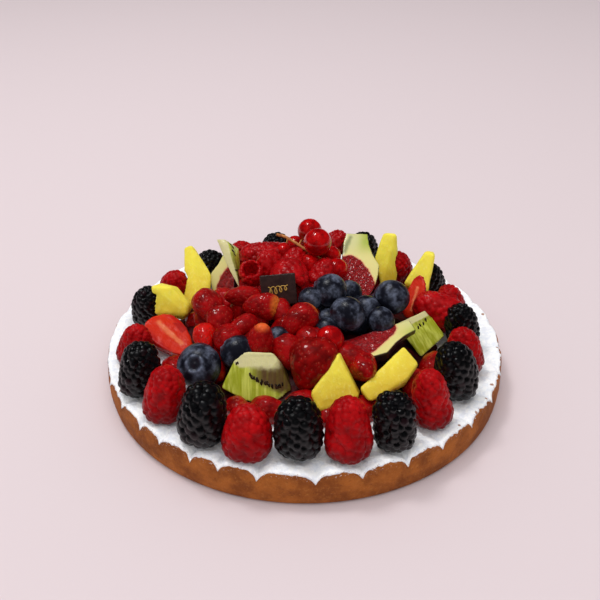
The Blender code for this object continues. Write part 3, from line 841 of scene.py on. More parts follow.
# node: width, length, way of the tip, number of seeds, finish
wholeStrawberries = {
    "wild_strawberry_left": (17.5, 21.0, (0.6, -0.7, -0.3), 190, darkBerry),
    "wild_strawberry_middle_left": (15.0, 20.0, (-0.9, -0.1, 0.2), 180, darkBerry),
    "wild_strawberry_middle": (16.0, 20.5, (-0.9, 0.3, -0.2), 180, shoulderBerry),
    "wild_strawberry_centre": (17.0, 19.5, (-0.7, -0.6, -0.3), 180, shoulderBerry),
    "wild_strawberry_orange_tip": (17.5, 18.0, (0.1, 0.0, 1.0), 150, tipBerry),
    "wild_strawberry_bright": (13.0, 15.5, (0.2, -0.8, -0.3), 120, hotBerry),
    "strawberry_front": (26.0, 27.0, (-0.15, -0.6, -0.75), 150, brightBerry),
    "strawberry_front_right": (16.0, 19.0, (0.2, -0.8, 0.2), 110, darkBerry),
}
seedParts = []
for index, (node, (wide, tall, axis, seeds, skin)) in enumerate(wholeStrawberries.items()):
    size = 0.27 if node.startswith("wild") else 0.36
    points, faces, marks, seedPoints, seedFaces = strawberryBody(wide, tall, seeds, 500 + index, size)
    both = fitTo(stand(np.concatenate([points, seedPoints]), axis), node, fill=0.7)
    makePiece(node.replace("_", "_berry_", 1), both[: len(points)], faces, skin,
              [node], marks)
    seedParts.append((both[len(points):], seedFaces, {}))
print("whole strawberries made")


# blueberries

blueberryLook = {
    "skin": (18, 19, 29), "bloom": (108, 116, 138), "crown": (104, 112, 132), "hole": (26, 25, 34),
}


def blueberryBody(size, seed, rings=74, columns=92):
    # a slightly flattened ball; at the top a crater inside a raised ring of five lobes
    rng = np.random.default_rng(seed)
    polar = np.linspace(0.0, math.pi, 300)
    line = np.stack([np.sin(polar), np.cos(polar) * 0.94], 1) * size / 2.0
    profile = evenly(line, rings)
    grid = turn(profile, columns)
    share = np.linspace(0.0, math.pi, rings)[:, None]
    angle = np.linspace(0.0, 2.0 * math.pi, columns, endpoint=False)[None]
    lobes = 0.6 + 0.4 * np.cos(5.0 * angle + rng.uniform(0, 6)) + 0.15 * np.cos(11.0 * angle + 1.0)
    ring = np.exp(-((share - 0.37) / 0.08) ** 2)
    crater = 1.0 - step(share, 0.22, 0.36)
    lift = 0.05 * ring * lobes - 0.11 * crater + 0.03 * (1.0 - step(share, 0.0, 0.12))
    normal = outward(grid)
    grid = grid + normal * (lift * size / 2.0)[..., None]
    grid = grid + normal * (softNoise(grid + seed, size * 0.5, seed) * 0.02 * size)[..., None]
    points, faces = closedGrid(grid)
    marks = {"ring": closedMark(ring * np.clip(lobes, 0.3, 1.0)),
             "crater": closedMark(np.broadcast_to(1.0 - step(share, 0.2, 0.33), grid.shape[:2]))}
    return points, faces, marks


def blueberryFinish():
    # dark skin under a dull blue-grey bloom, rubbed off in patches; pale crown, dark hole
    look = Finish("blueberry", Specular_IOR_Level=0.35)
    patches = look.noise(6.0, 5.0, 0.65)
    fine = look.noise(1.4, 4.0, 0.7)
    bloom = patches.between(0.42, 0.7) * (0.3 + fine.between(0.3, 0.7) * 0.5)
    shade = look.mix(bloom, tint(*blueberryLook["skin"]), tint(*blueberryLook["bloom"]))
    shade = look.mix(look.mark("ring") * 0.75, shade, tint(*blueberryLook["crown"]))
    shade = look.mix(look.mark("crater"), shade, tint(*blueberryLook["hole"]))
    look.feed(Base_Color=shade, Roughness=0.3 + bloom * 0.35)
    look.bump(fine, 0.1)
    return look


blueberrySkin = blueberryFinish()
# node: diameter, way of the crown
blueberries = {
    "blueberry_front_left": (21.5, (-0.15, -0.85, 0.8)),
    "blueberry_behind_kiwi": (17.0, (-0.9, 0.3, 0.5)),
    "blueberry_middle": (17.5, (-0.9, 0.5, 0.2)),
    "blueberry_middle_back": (13.5, (0.5, 0.9, 0.2)),
    "blueberry_middle_front": (17.5, (0.8, 0.6, -0.1)),
    "blueberry_right": (18.0, (0.7, 0.5, -0.1)),
    "blueberry_right_front": (14.0, (0.2, 0.9, -0.2)),
}
for index, (node, (size, crown)) in enumerate(blueberries.items()):
    points, faces, marks = blueberryBody(size, 700 + index)
    makePiece(node.replace("blueberry_", "blueberry_round_"), fitTo(stand(points, crown), node),
              faces, blueberrySkin, [node], marks)
print("blueberries made")


# currants

currantLook = {"red": (186, 6, 8), "deep": (132, 2, 5), "tuft": (70, 44, 24), "stalk": (196, 128, 62)}


def currantBody(size, seed):
    # a ball with faint lines from end to end
    polar = np.linspace(0.0, math.pi, 200)
    profile = evenly(np.stack([np.sin(polar), np.cos(polar)], 1) * size / 2.0, 48)
    grid = turn(profile, 64)
    angle = np.linspace(0.0, 2.0 * math.pi, 64, endpoint=False)
    grid = grid * (1.0 + 0.004 * np.cos(10.0 * angle))[None, :, None]
    return closedGrid(grid)


def currantFinish():
    # clear deep red skin with a wet shine, darker in soft patches
    look = Finish("currant", Roughness=0.18, Specular_IOR_Level=0.45, Coat_Weight=0.3,
                  Coat_Roughness=0.04, Subsurface_Weight=0.25, Subsurface_Scale=0.003)
    look.shader.inputs["Subsurface Radius"].default_value = (1.0, 0.1, 0.08)
    patches = look.noise(4.5, 2.0).between(0.35, 0.7)
    look.feed(Base_Color=look.mix(patches, tint(*currantLook["deep"]), tint(*currantLook["red"])))
    return look


currantSkin = currantFinish()
# places of the berries on the tart, in mm
sprigMiddle = nodeMiddle("currant_sprig")
sprigBerries = [((3, 50, 51.5), 13.2), ((7, 36, 52), 14.8), ((-11, 45, 41), 10.6),
                ((-5, 54, 40.5), 10.4), ((3, 32, 40.5), 12.0), ((14.5, 42.5, 40), 11.0),
                ((17, 28, 40), 12.0)]
bodies = []
for index, (at, size) in enumerate(sprigBerries):
    points, faces = currantBody(size, index)
    bodies.append((points + np.array(at, float), faces, {}))
points, faces, marks = joined(bodies)
makePiece("currant_berries", points, faces, currantSkin, ["currant_sprig"], marks)
stalkPaths = [
    [(-15, 53, 47.5), (-10, 50, 47.5), (-3, 43, 46.5), (6, 38, 42.5), (14, 36, 39.5), (18, 33, 38)],
    [(-3, 43, 46.5), (-1, 47, 48), (1, 49, 49)],
    [(4, 39.5, 43.5), (6, 39, 46), (7, 37.5, 47)],
    [(-9, 49, 47), (-10, 47, 44), (-11, 45.5, 42)],
    [(-4, 44, 46.7), (-5, 50, 44), (-5, 53, 42)],
]
bodies = []
for path in stalkPaths:
    line = curveThrough(path, 24)
    thick = np.linspace(0.85, 0.55, 24) if len(path) > 4 else np.linspace(0.5, 0.4, 24)
    points, faces = tube(line, thick)
    bodies.append((points, faces, {}))
points, faces, marks = joined(bodies)
stalkFinish = Finish("currant_stalk", Roughness=0.5)
woody = stalkFinish.noise(1.5, 3.0).between(0.35, 0.7)
stalkFinish.feed(Base_Color=stalkFinish.mix(woody, tint(*currantLook["stalk"]), tint(140, 74, 34)))
makePiece("currant_stalk", points, faces, stalkFinish, (), marks)
points, faces = currantBody(13.8, 9)
makePiece("currant_alone", fitTo(points, "currant_single"), faces, currantSkin,
          ["currant_single"])
print("currants made")


# cut fruit

def refined(node, name, finish, voxel, smoothing, shape):
    # a copy of a solid with finer faces and rounded edges; shape moves its points, given
    # from the middle of the node's box, and gives the marks
    copy = bpy.data.objects.new(name, frame["nodes"][node].data.copy())
    copy.data.materials.clear()
    bpy.context.scene.collection.objects.link(copy)
    weld = copy.modifiers.new("weld", "WELD")
    weld.merge_threshold = 0.00001
    remesh = copy.modifiers.new("remesh", "REMESH")
    remesh.mode = "VOXEL"
    remesh.voxel_size = voxel * mm
    smooth = copy.modifiers.new("smooth", "SMOOTH")
    smooth.factor = 0.6
    smooth.iterations = smoothing
    mesh = bpy.data.meshes.new_from_object(copy.evaluated_get(bpy.context.evaluated_depsgraph_get()))
    bpy.data.objects.remove(copy)
    points = np.empty(len(mesh.vertices) * 3)
    mesh.vertices.foreach_get("co", points)
    normals = np.empty(len(mesh.vertices) * 3)
    mesh.vertices.foreach_get("normal", normals)
    points = points.reshape(-1, 3) / mm - nodeMiddle(node)
    normals = normals.reshape(-1, 3)
    points, marks = shape(points, normals)
    mesh.vertices.foreach_set("co", ((points + nodeMiddle(node)) * mm).ravel())
    mesh.polygons.foreach_set("use_smooth", np.ones(len(mesh.polygons), bool))
    for key, values in marks.items():
        layer = mesh.attributes.new(key, "FLOAT", "POINT")
        layer.data.foreach_set("value", values.astype(np.float32))
    mesh.materials.clear()
    mesh.materials.append(finish.material)
    mesh.update()
    piece = bpy.data.objects.new(name, mesh)
    bpy.context.scene.collection.objects.link(piece)
    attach(piece, "root")
    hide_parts(node)
    return points + nodeMiddle(node), normals


def seedsOn(points, normals, path, count, size, rng, wander, towards):
    # seeds along a path, each set on the nearest point of a surface
    line = curveThrough(path, count) + rng.normal(0.0, wander, (count, 3))
    index = np.argmin(np.linalg.norm(points[:, None] - line[None], axis=2), axis=0)
    ups = np.array(towards, float) + rng.normal(0.0, 0.15, (count, 3))
    ups -= normals[index] * (ups * normals[index]).sum(1)[:, None]
    ups /= np.linalg.norm(ups, axis=1, keepdims=True)
    return seedBodies(points[index], normals[index], ups, size)


kiwiLook = {
    "core": (204, 196, 142), "flesh": (156, 162, 32), "streak": (196, 200, 84),
    "shade": (92, 68, 36), "edge": (196, 200, 120), "seed": (26, 18, 14),
}
# offsets from the middle of each node's box: ends of the pale core, its radius, distance
# of the seeds from it and how much that grows along x, how much brown lies between them,
# partly the flesh's own and partly painted shade, from where along x it rises, and
# the line of the seeds with their number and direction
kiwis = {
    "kiwi_front": {
        "core": ((-6.5, 5.0, 7.2), (6.5, 4.6, 7.6)), "coreRadius": 4.9, "seedDistance": 9.9,
        "growth": 0.42, "brown": 1.0, "brownShadeFrom": (-5.5, 3.5),
        "path": [(-3.0, -1.4, 1.6), (-1.1, -2.9, 0.0), (2.5, -4.2, -1.3), (8.0, -4.8, -2.0),
                 (12.5, -4.0, -3.2)],
        "count": 21, "towards": (0.3, -0.7, -0.7), "stray": (-9.4, 2.4, 4.6)},
    "kiwi_right": {
        "core": ((-11.6, -1.6, 5.9), (3.0, 8.4, 7.8)), "coreRadius": 3.0, "seedDistance": 4.6,
        "growth": 0.0, "brown": 0.35, "brownShadeFrom": (-6.0, 0.0),
        "path": [(3.2, 4.4, 5.0), (1.8, 2.6, 4.4), (0.2, 1.2, 3.8), (-1.0, -0.6, 3.2)],
        "count": 5, "towards": (0.2, -0.6, -0.7), "stray": (-5.0, -4.4, 2.6)},
    "kiwi_back": {
        "core": ((-4.6, 8.2, 9.2), (2.5, -9.5, -8.0)), "coreRadius": 3.6, "seedDistance": 5.2,
        "growth": 0.0, "brown": 0.7, "brownShadeFrom": (0.0, 4.0),
        "path": [(1.2, 7.1, 6.8), (2.0, 6.0, 6.0), (2.7, 4.8, 5.3), (3.4, 2.0, 3.6)],
        "count": 5, "towards": (0.6, -0.2, -0.5), "stray": (4.6, -5.0, -2.0)},
}


def kiwiFinish():
    # by depth from the core: cream, then brown and clear up to the seeds, the brown partly
    # painted shade that grows towards one side, then green flesh with pale streaks that run outwards
    look = Finish("kiwi_flesh", Roughness=0.3, Coat_Weight=0.25, Coat_Roughness=0.15,
                  Subsurface_Weight=0.15, Subsurface_Scale=0.003)
    look.shader.inputs["Subsurface Radius"].default_value = (0.8, 1.0, 0.25)
    band = look.mark("band")
    ray = look.node("ShaderNodeCombineXYZ", None,
                    {0: look.mark("along"), 1: look.mark("around"), 2: band * 0.25})
    rays = look.node("ShaderNodeTexNoise", None, {"Vector": ray, "Scale": 0.75, "Detail": 3.0}, "Fac")
    depth = band + look.noise(2.5, 3.0) * 0.36 - 0.18
    flesh = look.mix(rays.between(0.4, 0.66), tint(*kiwiLook["flesh"]), tint(*kiwiLook["streak"]))
    # brown between the core and the seeds, partly painted shade
    brown = look.mark("brown") * (1.0 - depth.between(0.95, 1.35))
    shade = look.mix(brown * (0.62 + rays * 0.7), flesh, tint(*kiwiLook["shade"]))
    shade = look.mix(1.0 - depth.between(-0.1, 0.35), shade, tint(*kiwiLook["core"]))
    shade = look.mix(look.mark("rim") * 0.6, shade, tint(*kiwiLook["edge"]))
    look.feed(Base_Color=shade)
    look.bump(rays * 0.6 + look.noise(1.0, 2.0) * 0.4, 0.3)
    return look


kiwiSkin = kiwiFinish()
seedGroups = []
for index, (node, facts) in enumerate(kiwis.items()):
    def kiwiShape(points, normals):
        away, share = toLine(points, *facts["core"])
        reach = facts["seedDistance"] + facts["growth"] * (points[:, 0] + 3.0) - facts["coreRadius"]
        band = (away - facts["coreRadius"]) / np.maximum(reach, 1.0)
        start, end = (np.array(place) for place in facts["core"])
        up, ahead = frameOf(end - start)[[2, 0]]
        off = points - start
        around = np.arctan2(off @ np.cross(up, ahead), off @ ahead) * 7.0
        # brown, partly painted shade, rising along x towards the shaded side
        brown = facts["brown"] * step(points[:, 0], *facts["brownShadeFrom"])
        # paler far out from the core, with a ragged boundary
        rim = step(softNoise(points + 9.0 * index, 6.0, 62) * 0.2 + away / away.max(), 0.86, 1.02)
        ribs = softNoise(np.stack([off @ up, around, band], 1) / (1.6, 1.6, 6.0), 1.0, 66, 2)
        lift = 0.16 * ribs * step(band, 0.8, 1.4) + 0.14 * softNoise(points, 3.0, 61, 2)
        return points + normals * lift[:, None], {
            "band": band, "brown": brown, "rim": rim, "around": around, "along": off @ up}

    points, normals = refined(node, node.replace("kiwi_", "kiwi_cut_"), kiwiSkin, 0.36, 5, kiwiShape)
    rng = np.random.default_rng(900 + index)
    path = np.array(facts["path"]) + nodeMiddle(node)
    seedPoints, seedFaces = seedsOn(points, normals, path, facts["count"], (0.52, 1.05, 0.3), rng,
                                    0.5, facts["towards"])
    seedGroups.append((seedPoints, seedFaces, {}))
    lone = np.array([facts["stray"]] * 2) + nodeMiddle(node)
    seedPoints, seedFaces = seedsOn(points, normals, lone + [[0, 0, 0], [0.6, 0.4, 0.0]], 2,
                                    (0.4, 0.8, 0.25), rng, 0.1, facts["towards"])
    seedGroups.append((seedPoints, seedFaces, {}))
points, faces, marks = joined(seedGroups)
kiwiSeedFinish = Finish("kiwi_seeds", Roughness=0.25, Coat_Weight=0.5)
kiwiSeedShade = kiwiSeedFinish.noise(2.0, 2.0).between(0.3, 0.7)
kiwiSeedFinish.feed(Base_Color=kiwiSeedFinish.mix(kiwiSeedShade, tint(*kiwiLook["seed"]), tint(52, 36, 24)))
makePiece("kiwi_seeds", points, faces, kiwiSeedFinish, (), marks)
print("kiwi made")

figLook = {
    "flesh": (158, 10, 16), "dark": (108, 4, 10), "pulp": (196, 58, 52), "rind": (216, 205, 128),
    "green": (164, 176, 62), "pale": (194, 196, 136), "skin": (40, 24, 32), "olive": (92, 100, 36),
    "depth": 0.5,
}
# node: way of the stalk and of the cut face, patch of red flesh (across, along the core),
# heights between which the neck turns green, and a dark streak in the neck
figs = {
    "fig_left": ((0, 21, 17), (-0.1, -0.65, 0.75),
                 [(3.5, 4.0), (-1.4, -3.0), (-3.4, -9.0), (-3.4, -16.0), (10.0, -16.0), (10.0, 3.0)],
                 (4.0, 14.0), ((-12.0, 20.0), (-12.0, 18.0))),
    "fig_back_right": ((4, 31, 17), (-0.1, -0.5, 0.85),
                       [(-4.2, 6.0), (1.2, 3.0), (5.8, -3.0), (8.6, -7.8), (11.0, -15.0), (10.5, -20.0),
                        (-16.0, -20.0), (-16.0, -2.0), (-9.0, 5.0)],
                       (4.0, 15.0), ((-5.6, 17.5), (-8.4, 7.5))),
    "fig_front": ((0.94, 0.28, 0.17), (-0.15, -0.15, 1),
                  [(9.6, -22.0), (10.2, -12.4), (6.9, -3.5), (0.6, 8.6), (-2.6, 12.0), (-16.0, 12.0),
                   (-16.0, -22.0)],
                  (8.0, 22.0), ((30.0, 20.0), (30.0, 18.0))),
}


def figFinish():
    # red seedy pulp inside a cream rind that greens towards the stalk; dark skin outside
    look = Finish("fig", Roughness=0.32, Coat_Weight=0.35, Coat_Roughness=0.12,
                  Subsurface_Weight=0.12, Subsurface_Scale=0.002)
    look.shader.inputs["Subsurface Radius"].default_value = (1.0, 0.4, 0.2)
    neck = look.mark("neck")
    pulp = look.noise(1.3, 4.0, 0.7)
    red = look.mix(pulp.between(0.36, 0.6), tint(*figLook["dark"]), tint(*figLook["flesh"]))
    red = look.mix(pulp.between(0.62, 0.8) * 0.8, red, tint(*figLook["pulp"]))
    rind = look.mix(neck * look.mark("side"), tint(*figLook["rind"]), tint(*figLook["green"]))
    rind = look.mix(neck * (1.0 - look.mark("side")) * 0.8, rind, tint(*figLook["pale"]))
    rind = look.mix(look.mark("streak"), rind, tint(92, 100, 46))
    depth = look.mark("depth") + look.noise(2.6, 3.0) * 1.6 - 0.8
    blush = look.mix(depth.between(-1.1, -0.1) * 0.6, rind, tint(214, 122, 104))
    shade = look.mix(depth.between(-0.35, 0.35), blush, red)
    streaks = look.noise(2.2, 3.0, stretch=(1.0, 1.0, 0.3)).between(0.4, 0.7)
    outside = look.mix(neck.between(0.1, 0.9), tint(*figLook["skin"]), tint(*figLook["olive"]))
    outside = look.mix(streaks * 0.35, outside, tint(78, 46, 54))
    look.feed(Base_Color=look.mix(look.mark("skin"), shade, outside))
    look.bump(pulp * depth.between(-0.2, 0.6), 0.9)
    return look


figSkin = figFinish()
for index, (node, (stalkWay, face, patch, greenFrom, streak)) in enumerate(figs.items()):
    def figShape(points, normals):
        local = points @ frameOf(stalkWay, face).T
        depth = patchDepth(local[:, [0, 2]], patch)
        behind = local[:, 1] - local[:, 1].min()
        facing = -(normals @ frameOf(stalkWay, face)[1])
        skin = step(behind, 0.04, 0.3) * (1.0 - step(facing, 0.75, 0.96))
        line = np.array(streak, float)
        gap = toLine(local[:, [0, 2]], line[0], line[1])[0]
        marks = {"depth": depth, "skin": skin, "neck": step(local[:, 2], *greenFrom),
                 "side": step(local[:, 0], -5.0, 3.0), "streak": (1.0 - step(gap + softNoise(points, 2.5, 79, 2) * 0.7, 0.3, 2.2)) * 0.7}
        pulp = step(depth, 0.0, 1.2) * (1.0 - skin)
        lift = softNoise(points + 50.0 * index, 1.7, 77, 2) * figLook["depth"] - 0.35
        return points + normals * (lift * pulp)[:, None], marks

    refined(node, node.replace("fig_", "fig_cut_"), figSkin, 0.38, 9, figShape)
print("figs made")

halfLook = {"flesh": (204, 38, 10), "edge": (180, 10, 5), "pale": (228, 124, 78), "deep": (160, 12, 14),
            "skin": (178, 20, 16)}
# node: way of the tip and of the cut face, line of the pale middle, patch of painted shadow
halves = {
    "strawberry_half_left": ((17, -17, -8), (0.3, -0.3, 0.9), ((0.5, -8.3), (-0.9, 8.0)),
                             [(-5.0, -5.4), (-9.6, -2.0), (-9.6, 2.5), (-5.0, 3.4)], 9.0),
    "strawberry_half_right": ((5, 14, 15), (-0.5, -0.6, 0.4), ((0.0, -6.0), (0.6, 6.0)),
                              [(-3.4, -9.0), (-6.5, -9.0), (-6.5, -6.0), (-3.4, -6.0)], 5.5),
}


def halfFinish():
    # cut face: pale streak along the middle, orange flesh, red near the skin, painted shadow over one patch
    look = Finish("strawberry_cut", Roughness=0.3, Coat_Weight=0.3, Coat_Roughness=0.12,
                  Subsurface_Weight=0.15, Subsurface_Scale=0.002)
    look.shader.inputs["Subsurface Radius"].default_value = (1.0, 0.3, 0.15)
    wobble = look.noise(3.0, 3.0) * 0.3 - 0.15
    share = look.mark("share") + wobble
    shade = look.mix((1.0 - share.between(0.04, 0.24)) * 0.75, tint(*halfLook["flesh"]), tint(*halfLook["pale"]))
    shade = look.mix(share.between(0.6, 0.95), shade, tint(*halfLook["edge"]))
    # painted shadow: deeper red over the patch
    shade = look.mix((look.mark("dark") + wobble).between(-0.1, 0.5) * 0.7, shade, tint(*halfLook["deep"]))
    shade = look.mix(look.mark("skin"), shade, tint(*halfLook["skin"]))
    look.feed(Base_Color=shade)
    look.bump(look.noise(1.4, 3.0), 0.3)
    return look


halfSkin = halfFinish()
for index, (node, (tip, face, line, patch, halfWidth)) in enumerate(halves.items()):
    def halfShape(points, normals):
        local = points @ frameOf(tip, face).T
        flat = local[:, [0, 2]]
        behind = local[:, 1] - local[:, 1].min()
        facing = -(normals @ frameOf(tip, face)[1])
        skin = step(behind, 0.3, 1.0) * (1.0 - step(facing, 0.6, 0.9))
        share = toLine(flat, np.array(line[0]), np.array(line[1]))[0] / halfWidth
        lift = softNoise(points + 30.0 * index, 5.0, 88, 2) * 0.4
        return points + normals * lift[:, None], {
            "share": share, "skin": skin, "dark": patchDepth(flat, patch)}

    points, normals = refined(node, node.replace("_", "_cut_", 1), halfSkin, 0.34, 6, halfShape)
    rng = np.random.default_rng(950 + index)
    local = (points - nodeMiddle(node)) @ frameOf(tip, face).T
    onSkin = np.flatnonzero((local[:, 1] - local[:, 1].min() > 1.0)
                            & (-(normals @ frameOf(tip, face)[1]) < 0.4))
    chosen = onSkin[scattered(points[onSkin], 2.5, rng)]
    ups = np.array(tip, float) / np.linalg.norm(tip) - normals[chosen] * (
        normals[chosen] @ (np.array(tip, float) / np.linalg.norm(tip)))[:, None]
    ups /= np.maximum(np.linalg.norm(ups, axis=1, keepdims=True), 1e-6)
    seedPoints, seedFaces = seedBodies(points[chosen], normals[chosen], ups, (0.4, 0.7, 0.25))
    seedParts.append((seedPoints, seedFaces, {}))
points, faces, marks = joined(seedParts)
makePiece("strawberry_seeds", points, faces, seedFinish, (), marks)
print("strawberry halves and seeds made")


# mango

mangoLook = {"flesh": (238, 222, 72), "gold": (210, 150, 24), "pale": (244, 236, 130), "bump": 0.3}


def mangoFinish():
    # yellow flesh with painted shade, more golden, low down and in soft patches, with fine fibres
    look = Finish("mango_flesh", Roughness=0.45, Specular_IOR_Level=0.3, Subsurface_Weight=0.2,
                  Subsurface_Scale=0.003)
    look.shader.inputs["Subsurface Radius"].default_value = (1.0, 0.7, 0.12)
    place = look.place()
    height = look.node("ShaderNodeSeparateXYZ", None, {0: place}, "Z")
    patches = look.noise(9.0, 3.0)
    fibres = look.noise(1.2, 3.0, stretch=(1.0, 1.0, 0.25))
    # painted shade: more golden towards the bottom
    low = 1.0 - (height + patches * 0.012).between(0.022, 0.046)
    shade = look.mix(low * 0.8, tint(*mangoLook["flesh"]), tint(*mangoLook["gold"]))
    shade = look.mix(fibres.between(0.5, 0.75) * 0.4, shade, tint(*mangoLook["pale"]))
    look.feed(Base_Color=shade)
    look.bump(fibres * 0.5 + patches * 0.5, 0.5)
    return look


mangoSkin = mangoFinish()
for index, node in enumerate(["mango_left_tall", "mango_left_low", "mango_back_right",
                              "mango_right", "mango_front_right", "mango_front"]):
    def mangoShape(points, normals):
        lift = softNoise(points + 60.0 * index, 5.0, 70, 2) * mangoLook["bump"]
        return points + normals * lift[:, None], {}

    refined(node, node.replace("mango_", "mango_chunk_"), mangoSkin, 0.45, 6, mangoShape)
print("mango made")


# smaller fruit between the larger pieces

heapLook = {
    "count": 64, "radius": 65.0, "least": 13.5, "most": 17.0, "rise": 3.2, "detail": 0.46,
    "drop": 2.2, "tries": 4,
    # where the blueberries lie, and how far back the raspberries start
    "blue": (25.0, 3.0), "blueReach": 21.0, "red": 14.0,
}
# kind, place from the middle of the filling, width, length, way of the tip
heapExtras = [
    ("strawberry", (-35.5, -28.0, 16.5), 15.0, 18.0, (0.5, -0.8, -0.1)),
    ("strawberry", (-30.0, -19.0, 18.5), 14.0, 17.0, (-0.6, -0.6, 0.1)),
    ("strawberry", (-41.0, -14.0, 17.0), 15.0, 18.0, (0.2, -0.8, -0.4)),
    ("strawberry", (-7.0, -35.0, 14.5), 16.0, 20.0, (0.6, -0.7, -0.3)),
    ("strawberry", (-11.0, -10.0, 20.0), 14.0, 17.0, (0.5, -0.8, -0.2)),
    ("strawberry", (4.0, -30.0, 17.0), 15.0, 18.0, (0.7, -0.6, 0.0)),
    ("strawberry", (22.0, -38.0, 13.5), 16.0, 20.0, (0.8, -0.5, 0.0)),
    ("strawberry", (-16.0, -62.0, 2.0), 15.0, 18.0, (1.0, -0.3, 0.2)),
    ("strawberry", (-2.0, -58.0, 3.0), 15.0, 17.0, (-1.0, -0.3, 0.2)),
    ("strawberry", (38.0, -58.0, 1.5), 14.0, 17.0, (1.0, 0.5, 0.1)),
    ("strawberry", (53.0, -44.0, 2.0), 14.0, 17.0, (0.6, 1.0, 0.1)),
    ("strawberry", (-45.0, -55.0, 1.5), 14.0, 17.0, (1.0, -0.5, 0.2)),
    ("strawberry", (62.0, -28.0, 2.0), 14.0, 17.0, (0.3, 1.0, 0.1)),
    ("strawberry", (-62.0, -32.0, 2.0), 14.0, 17.0, (0.4, -1.0, 0.1)),
    ("strawberry", (-30.0, -60.0, 1.5), 13.0, 15.0, (0.3, -0.6, 0.4)),
    ("strawberry", (12.0, -65.0, 1.0), 12.0, 14.0, (1.0, -0.4, 0.3)),
    ("strawberry", (26.0, -62.0, 0.5), 12.0, 14.0, (-0.8, -0.4, 0.3)),
    ("blueberry", (-12.5, -27.0, 17.5), 12.0, 12.0, (0.3, 0.9, 0.2)),
    ("blueberry", (10.5, -20.0, 17.0), 13.0, 13.0, (0.5, 0.8, -0.2)),
    ("blueberry", (3.0, -3.5, 24.5), 12.5, 12.5, (-0.6, 0.8, 0.2)),
    ("blueberry", (31.0, -4.0, 18.5), 15.0, 15.0, (0.6, 0.7, 0.1)),
    ("raspberry", (-18.0, 30.0, 24.0), 16.5, 17.0, (-0.2, 0.3, 1.0)),
    ("raspberry", (-5.0, 38.0, 21.0), 16.0, 18.0, (0.4, 0.6, 0.5)),
    ("raspberry", (10.0, 26.0, 21.0), 16.0, 18.0, (0.4, 0.6, 0.5)),
    ("raspberry", (1.0, 47.0, 21.0), 16.0, 19.0, (1.0, 0.2, 0.3)),
    ("raspberry", (17.9, 63.9, 19.1), 15.0, 16.0, (0.6, 0.5, 0.5)),
]
depsgraph = bpy.context.evaluated_depsgraph_get()
cutTrees = [BVHTree.FromObject(piece, depsgraph) for piece in bpy.data.objects
            if "_cut_" in piece.name or piece.name.startswith(("mango_chunk", "chocolate_plaque"))]
ballGrid = turn(evenly(np.array([[math.sin(a), math.cos(a)] for a in np.linspace(0.0, math.pi, 25)]), 9), 12)
ballPoints, ballFaces = closedGrid(ballGrid)
ballSides = ballFaces[0].tolist() + ballFaces[1].tolist() + ballFaces[2].tolist()


def meetsCutFruit(middle, size):
    ball = BVHTree.FromPolygons(((ballPoints * size / 2.0 + middle) * mm).tolist(), ballSides)
    return any(ball.overlap(tree) for tree in cutTrees)


def fillHeap():
    # places on a sunflower spiral over the mound, each lowered until it clears the cut
    # fruit, or left out
    rng = np.random.default_rng(77)
    base = nodeMiddle("filling")
    places = list(heapExtras)
    for index in range(heapLook["count"]):
        share = (index + 0.5) / heapLook["count"]
        radius = heapLook["radius"] * math.sqrt(share)
        angle = index * goldenAngle
        size = rng.uniform(heapLook["least"], heapLook["most"])
        away = radius / fillingLook["moundRadius"]
        height = fillingLook["border"] + fillingLook["moundRise"] * (1.0 - away * away)
        at = np.array([radius * math.sin(angle), -radius * math.cos(angle),
                       height + heapLook["rise"]])
        axis = rng.normal(0.0, 1.0, 3)
        for _ in range(heapLook["tries"]):
            if not meetsCutFruit(at, size):
                break
            at = at - (0.0, 0.0, heapLook["drop"])
        else:
            continue
        toBlue = math.hypot(at[0] - heapLook["blue"][0], at[1] - heapLook["blue"][1])
        kind = "raspberry" if at[1] > heapLook["red"] else "strawberry"
        kind = "blueberry" if toBlue < heapLook["blueReach"] else kind
        places.append((kind, at - base, size, size * 1.12, axis))
    groups = {"strawberry": [], "raspberry": [], "blueberry": [], "seeds": []}
    for index, (kind, at, width, length, axis) in enumerate(places):
        if kind == "strawberry":
            points, faces, marks, seedPoints, seedFaces = strawberryBody(
                width, length, 92, 1200 + index, 0.27, heapLook["detail"])
            seedPoints = stand(seedPoints, axis) + base + np.array(at)
            groups["seeds"].append((seedPoints, seedFaces, {}))
        elif kind == "raspberry":
            points, faces, marks = drupeletBerry(width, length, raspberryLook, 1300 + index, 0.14,
                                                 detail=0.62)
        else:
            points, faces, marks = blueberryBody(width, 1400 + index, 40, 50)
        groups[kind].append((stand(points, axis) + base + np.array(at), faces, marks))
    return groups


heapGroups = fillHeap()
for kind, skin, slotName in (("strawberry", darkBerry, "strawberry"), ("raspberry", raspberryInner, "raspberry"),
                             ("blueberry", blueberrySkin, "blueberry"), ("seeds", seedFinish, "strawberry")):
    points, faces, marks = joined(heapGroups[kind])
    makePiece(f"small_{kind}", points, faces, skin, (), marks)


# chocolate tag

chocolate = Finish("dark_chocolate", Roughness=0.42, Specular_IOR_Level=0.45)
cocoa = chocolate.noise(3.0, 4.0, 0.6)
chocolate.feed(Base_Color=chocolate.mix(cocoa.between(0.3, 0.7), tint(44, 27, 26), tint(56, 36, 33)))
chocolate.bump(cocoa, 0.12)


def tagShape(points, normals):
    return points + normals * (softNoise(points, 4.0, 91, 2) * 0.06)[:, None], {}


refined("chocolate_tag", "chocolate_plaque", chocolate, 0.3, 3, tagShape)
gold = Finish("gold_mark", Metallic=0.2, Roughness=0.45)
goldShade = gold.noise(0.8, 2.0).between(0.3, 0.7)
gold.feed(Base_Color=gold.mix(goldShade, tint(216, 176, 92), tint(178, 132, 58)))
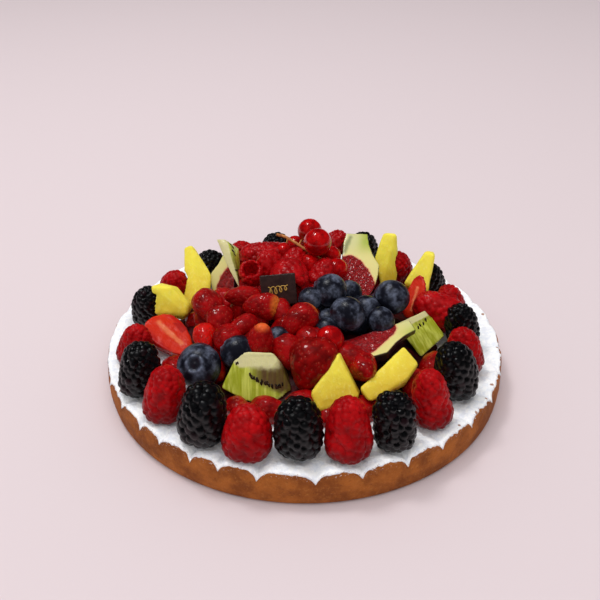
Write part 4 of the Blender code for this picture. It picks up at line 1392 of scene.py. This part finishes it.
# a plain flourish on the front face: loops that shrink and rise to the right
tagMiddle = nodeMiddle("chocolate_tag")
share = np.linspace(0.0, 1.0, 130)
swing = share * 8.0 * math.pi
rise = (2.3 - 1.3 * share) * np.cos(swing) + 1.6 * share - 0.6
flourish = np.stack([-5.0 + 10.0 * share + 1.1 * np.sin(swing), np.full(len(share), -0.95), rise], 1)
flourish = stand(flourish, (-0.1, 0.45, 0.9), (-0.15, -0.9, 0.4)) + tagMiddle
points, faces = tube(flourish, 0.2 + 0.1 * np.abs(np.sin(swing / 2.0)), 8)
makePiece("gold_flourish", points, faces, gold)
print("chocolate tag made")


# floor, light, camera

stageLook = {"floor": (214, 200, 203), "camera": (-2.31, -334.54, 253.93), "pitch": 32.746, "lens": 47.76}
floorMesh = bpy.data.meshes.new("studio_floor")
floorMesh.from_pydata([(-6, -6, 0), (6, -6, 0), (6, 6, 0), (-6, 6, 0)], [], [(0, 1, 2, 3)])
floor = bpy.data.objects.new("studio_floor", floorMesh)
floor.location.z = -0.0003
bpy.context.scene.collection.objects.link(floor)
paper = Finish("pale_paper", Roughness=0.9, Specular_IOR_Level=0.1)
paper.feed(Base_Color=paper.mix(paper.noise(400.0, 1.0) * 0.05, tint(*stageLook["floor"]), tint(209, 195, 198)))
floorMesh.materials.append(paper.material)


def addLamp(name, place, size, power, shines):
    # a square lamp aimed at the tart; shines: whether it shows in reflections
    lamp = bpy.data.lights.new(name, "AREA")
    lamp.size = size
    lamp.energy = power
    holder = bpy.data.objects.new(name, lamp)
    holder.location = place
    holder.rotation_euler = (-Vector(place)).to_track_quat("-Z", "Y").to_euler()
    holder.visible_glossy = shines
    bpy.context.scene.collection.objects.link(holder)


addLamp("ceiling", (-0.15, -0.1, 1.6), 1.6, 13.1, False)
addLamp("window", (-0.45, 0.3, 1.4), 0.28, 5.8, True)
addLamp("front_fill", (0.1, -1.4, 0.9), 0.9, 3.35, False)
world = bpy.data.worlds.new("studio")
world.use_nodes = True
world.node_tree.nodes["Background"].inputs["Color"].default_value = (1.0, 0.985, 0.99, 1.0)
world.node_tree.nodes["Background"].inputs["Strength"].default_value = 0.535
bpy.context.scene.world = world
world.cycles_visibility.glossy = False
bpy.context.scene.view_settings.view_transform = "Standard"

camera = bpy.data.cameras.new("camera")
camera.lens = stageLook["lens"]
camera.sensor_width = 36.0
camera.clip_start = 0.01
cameraObject = bpy.data.objects.new("camera", camera)
cameraObject.location = [value * mm for value in stageLook["camera"]]
cameraObject.rotation_euler = (math.radians(90.0 - stageLook["pitch"]), 0.0, 0.0)
bpy.context.scene.collection.objects.link(cameraObject)
bpy.context.scene.camera = cameraObject
print("stage made")
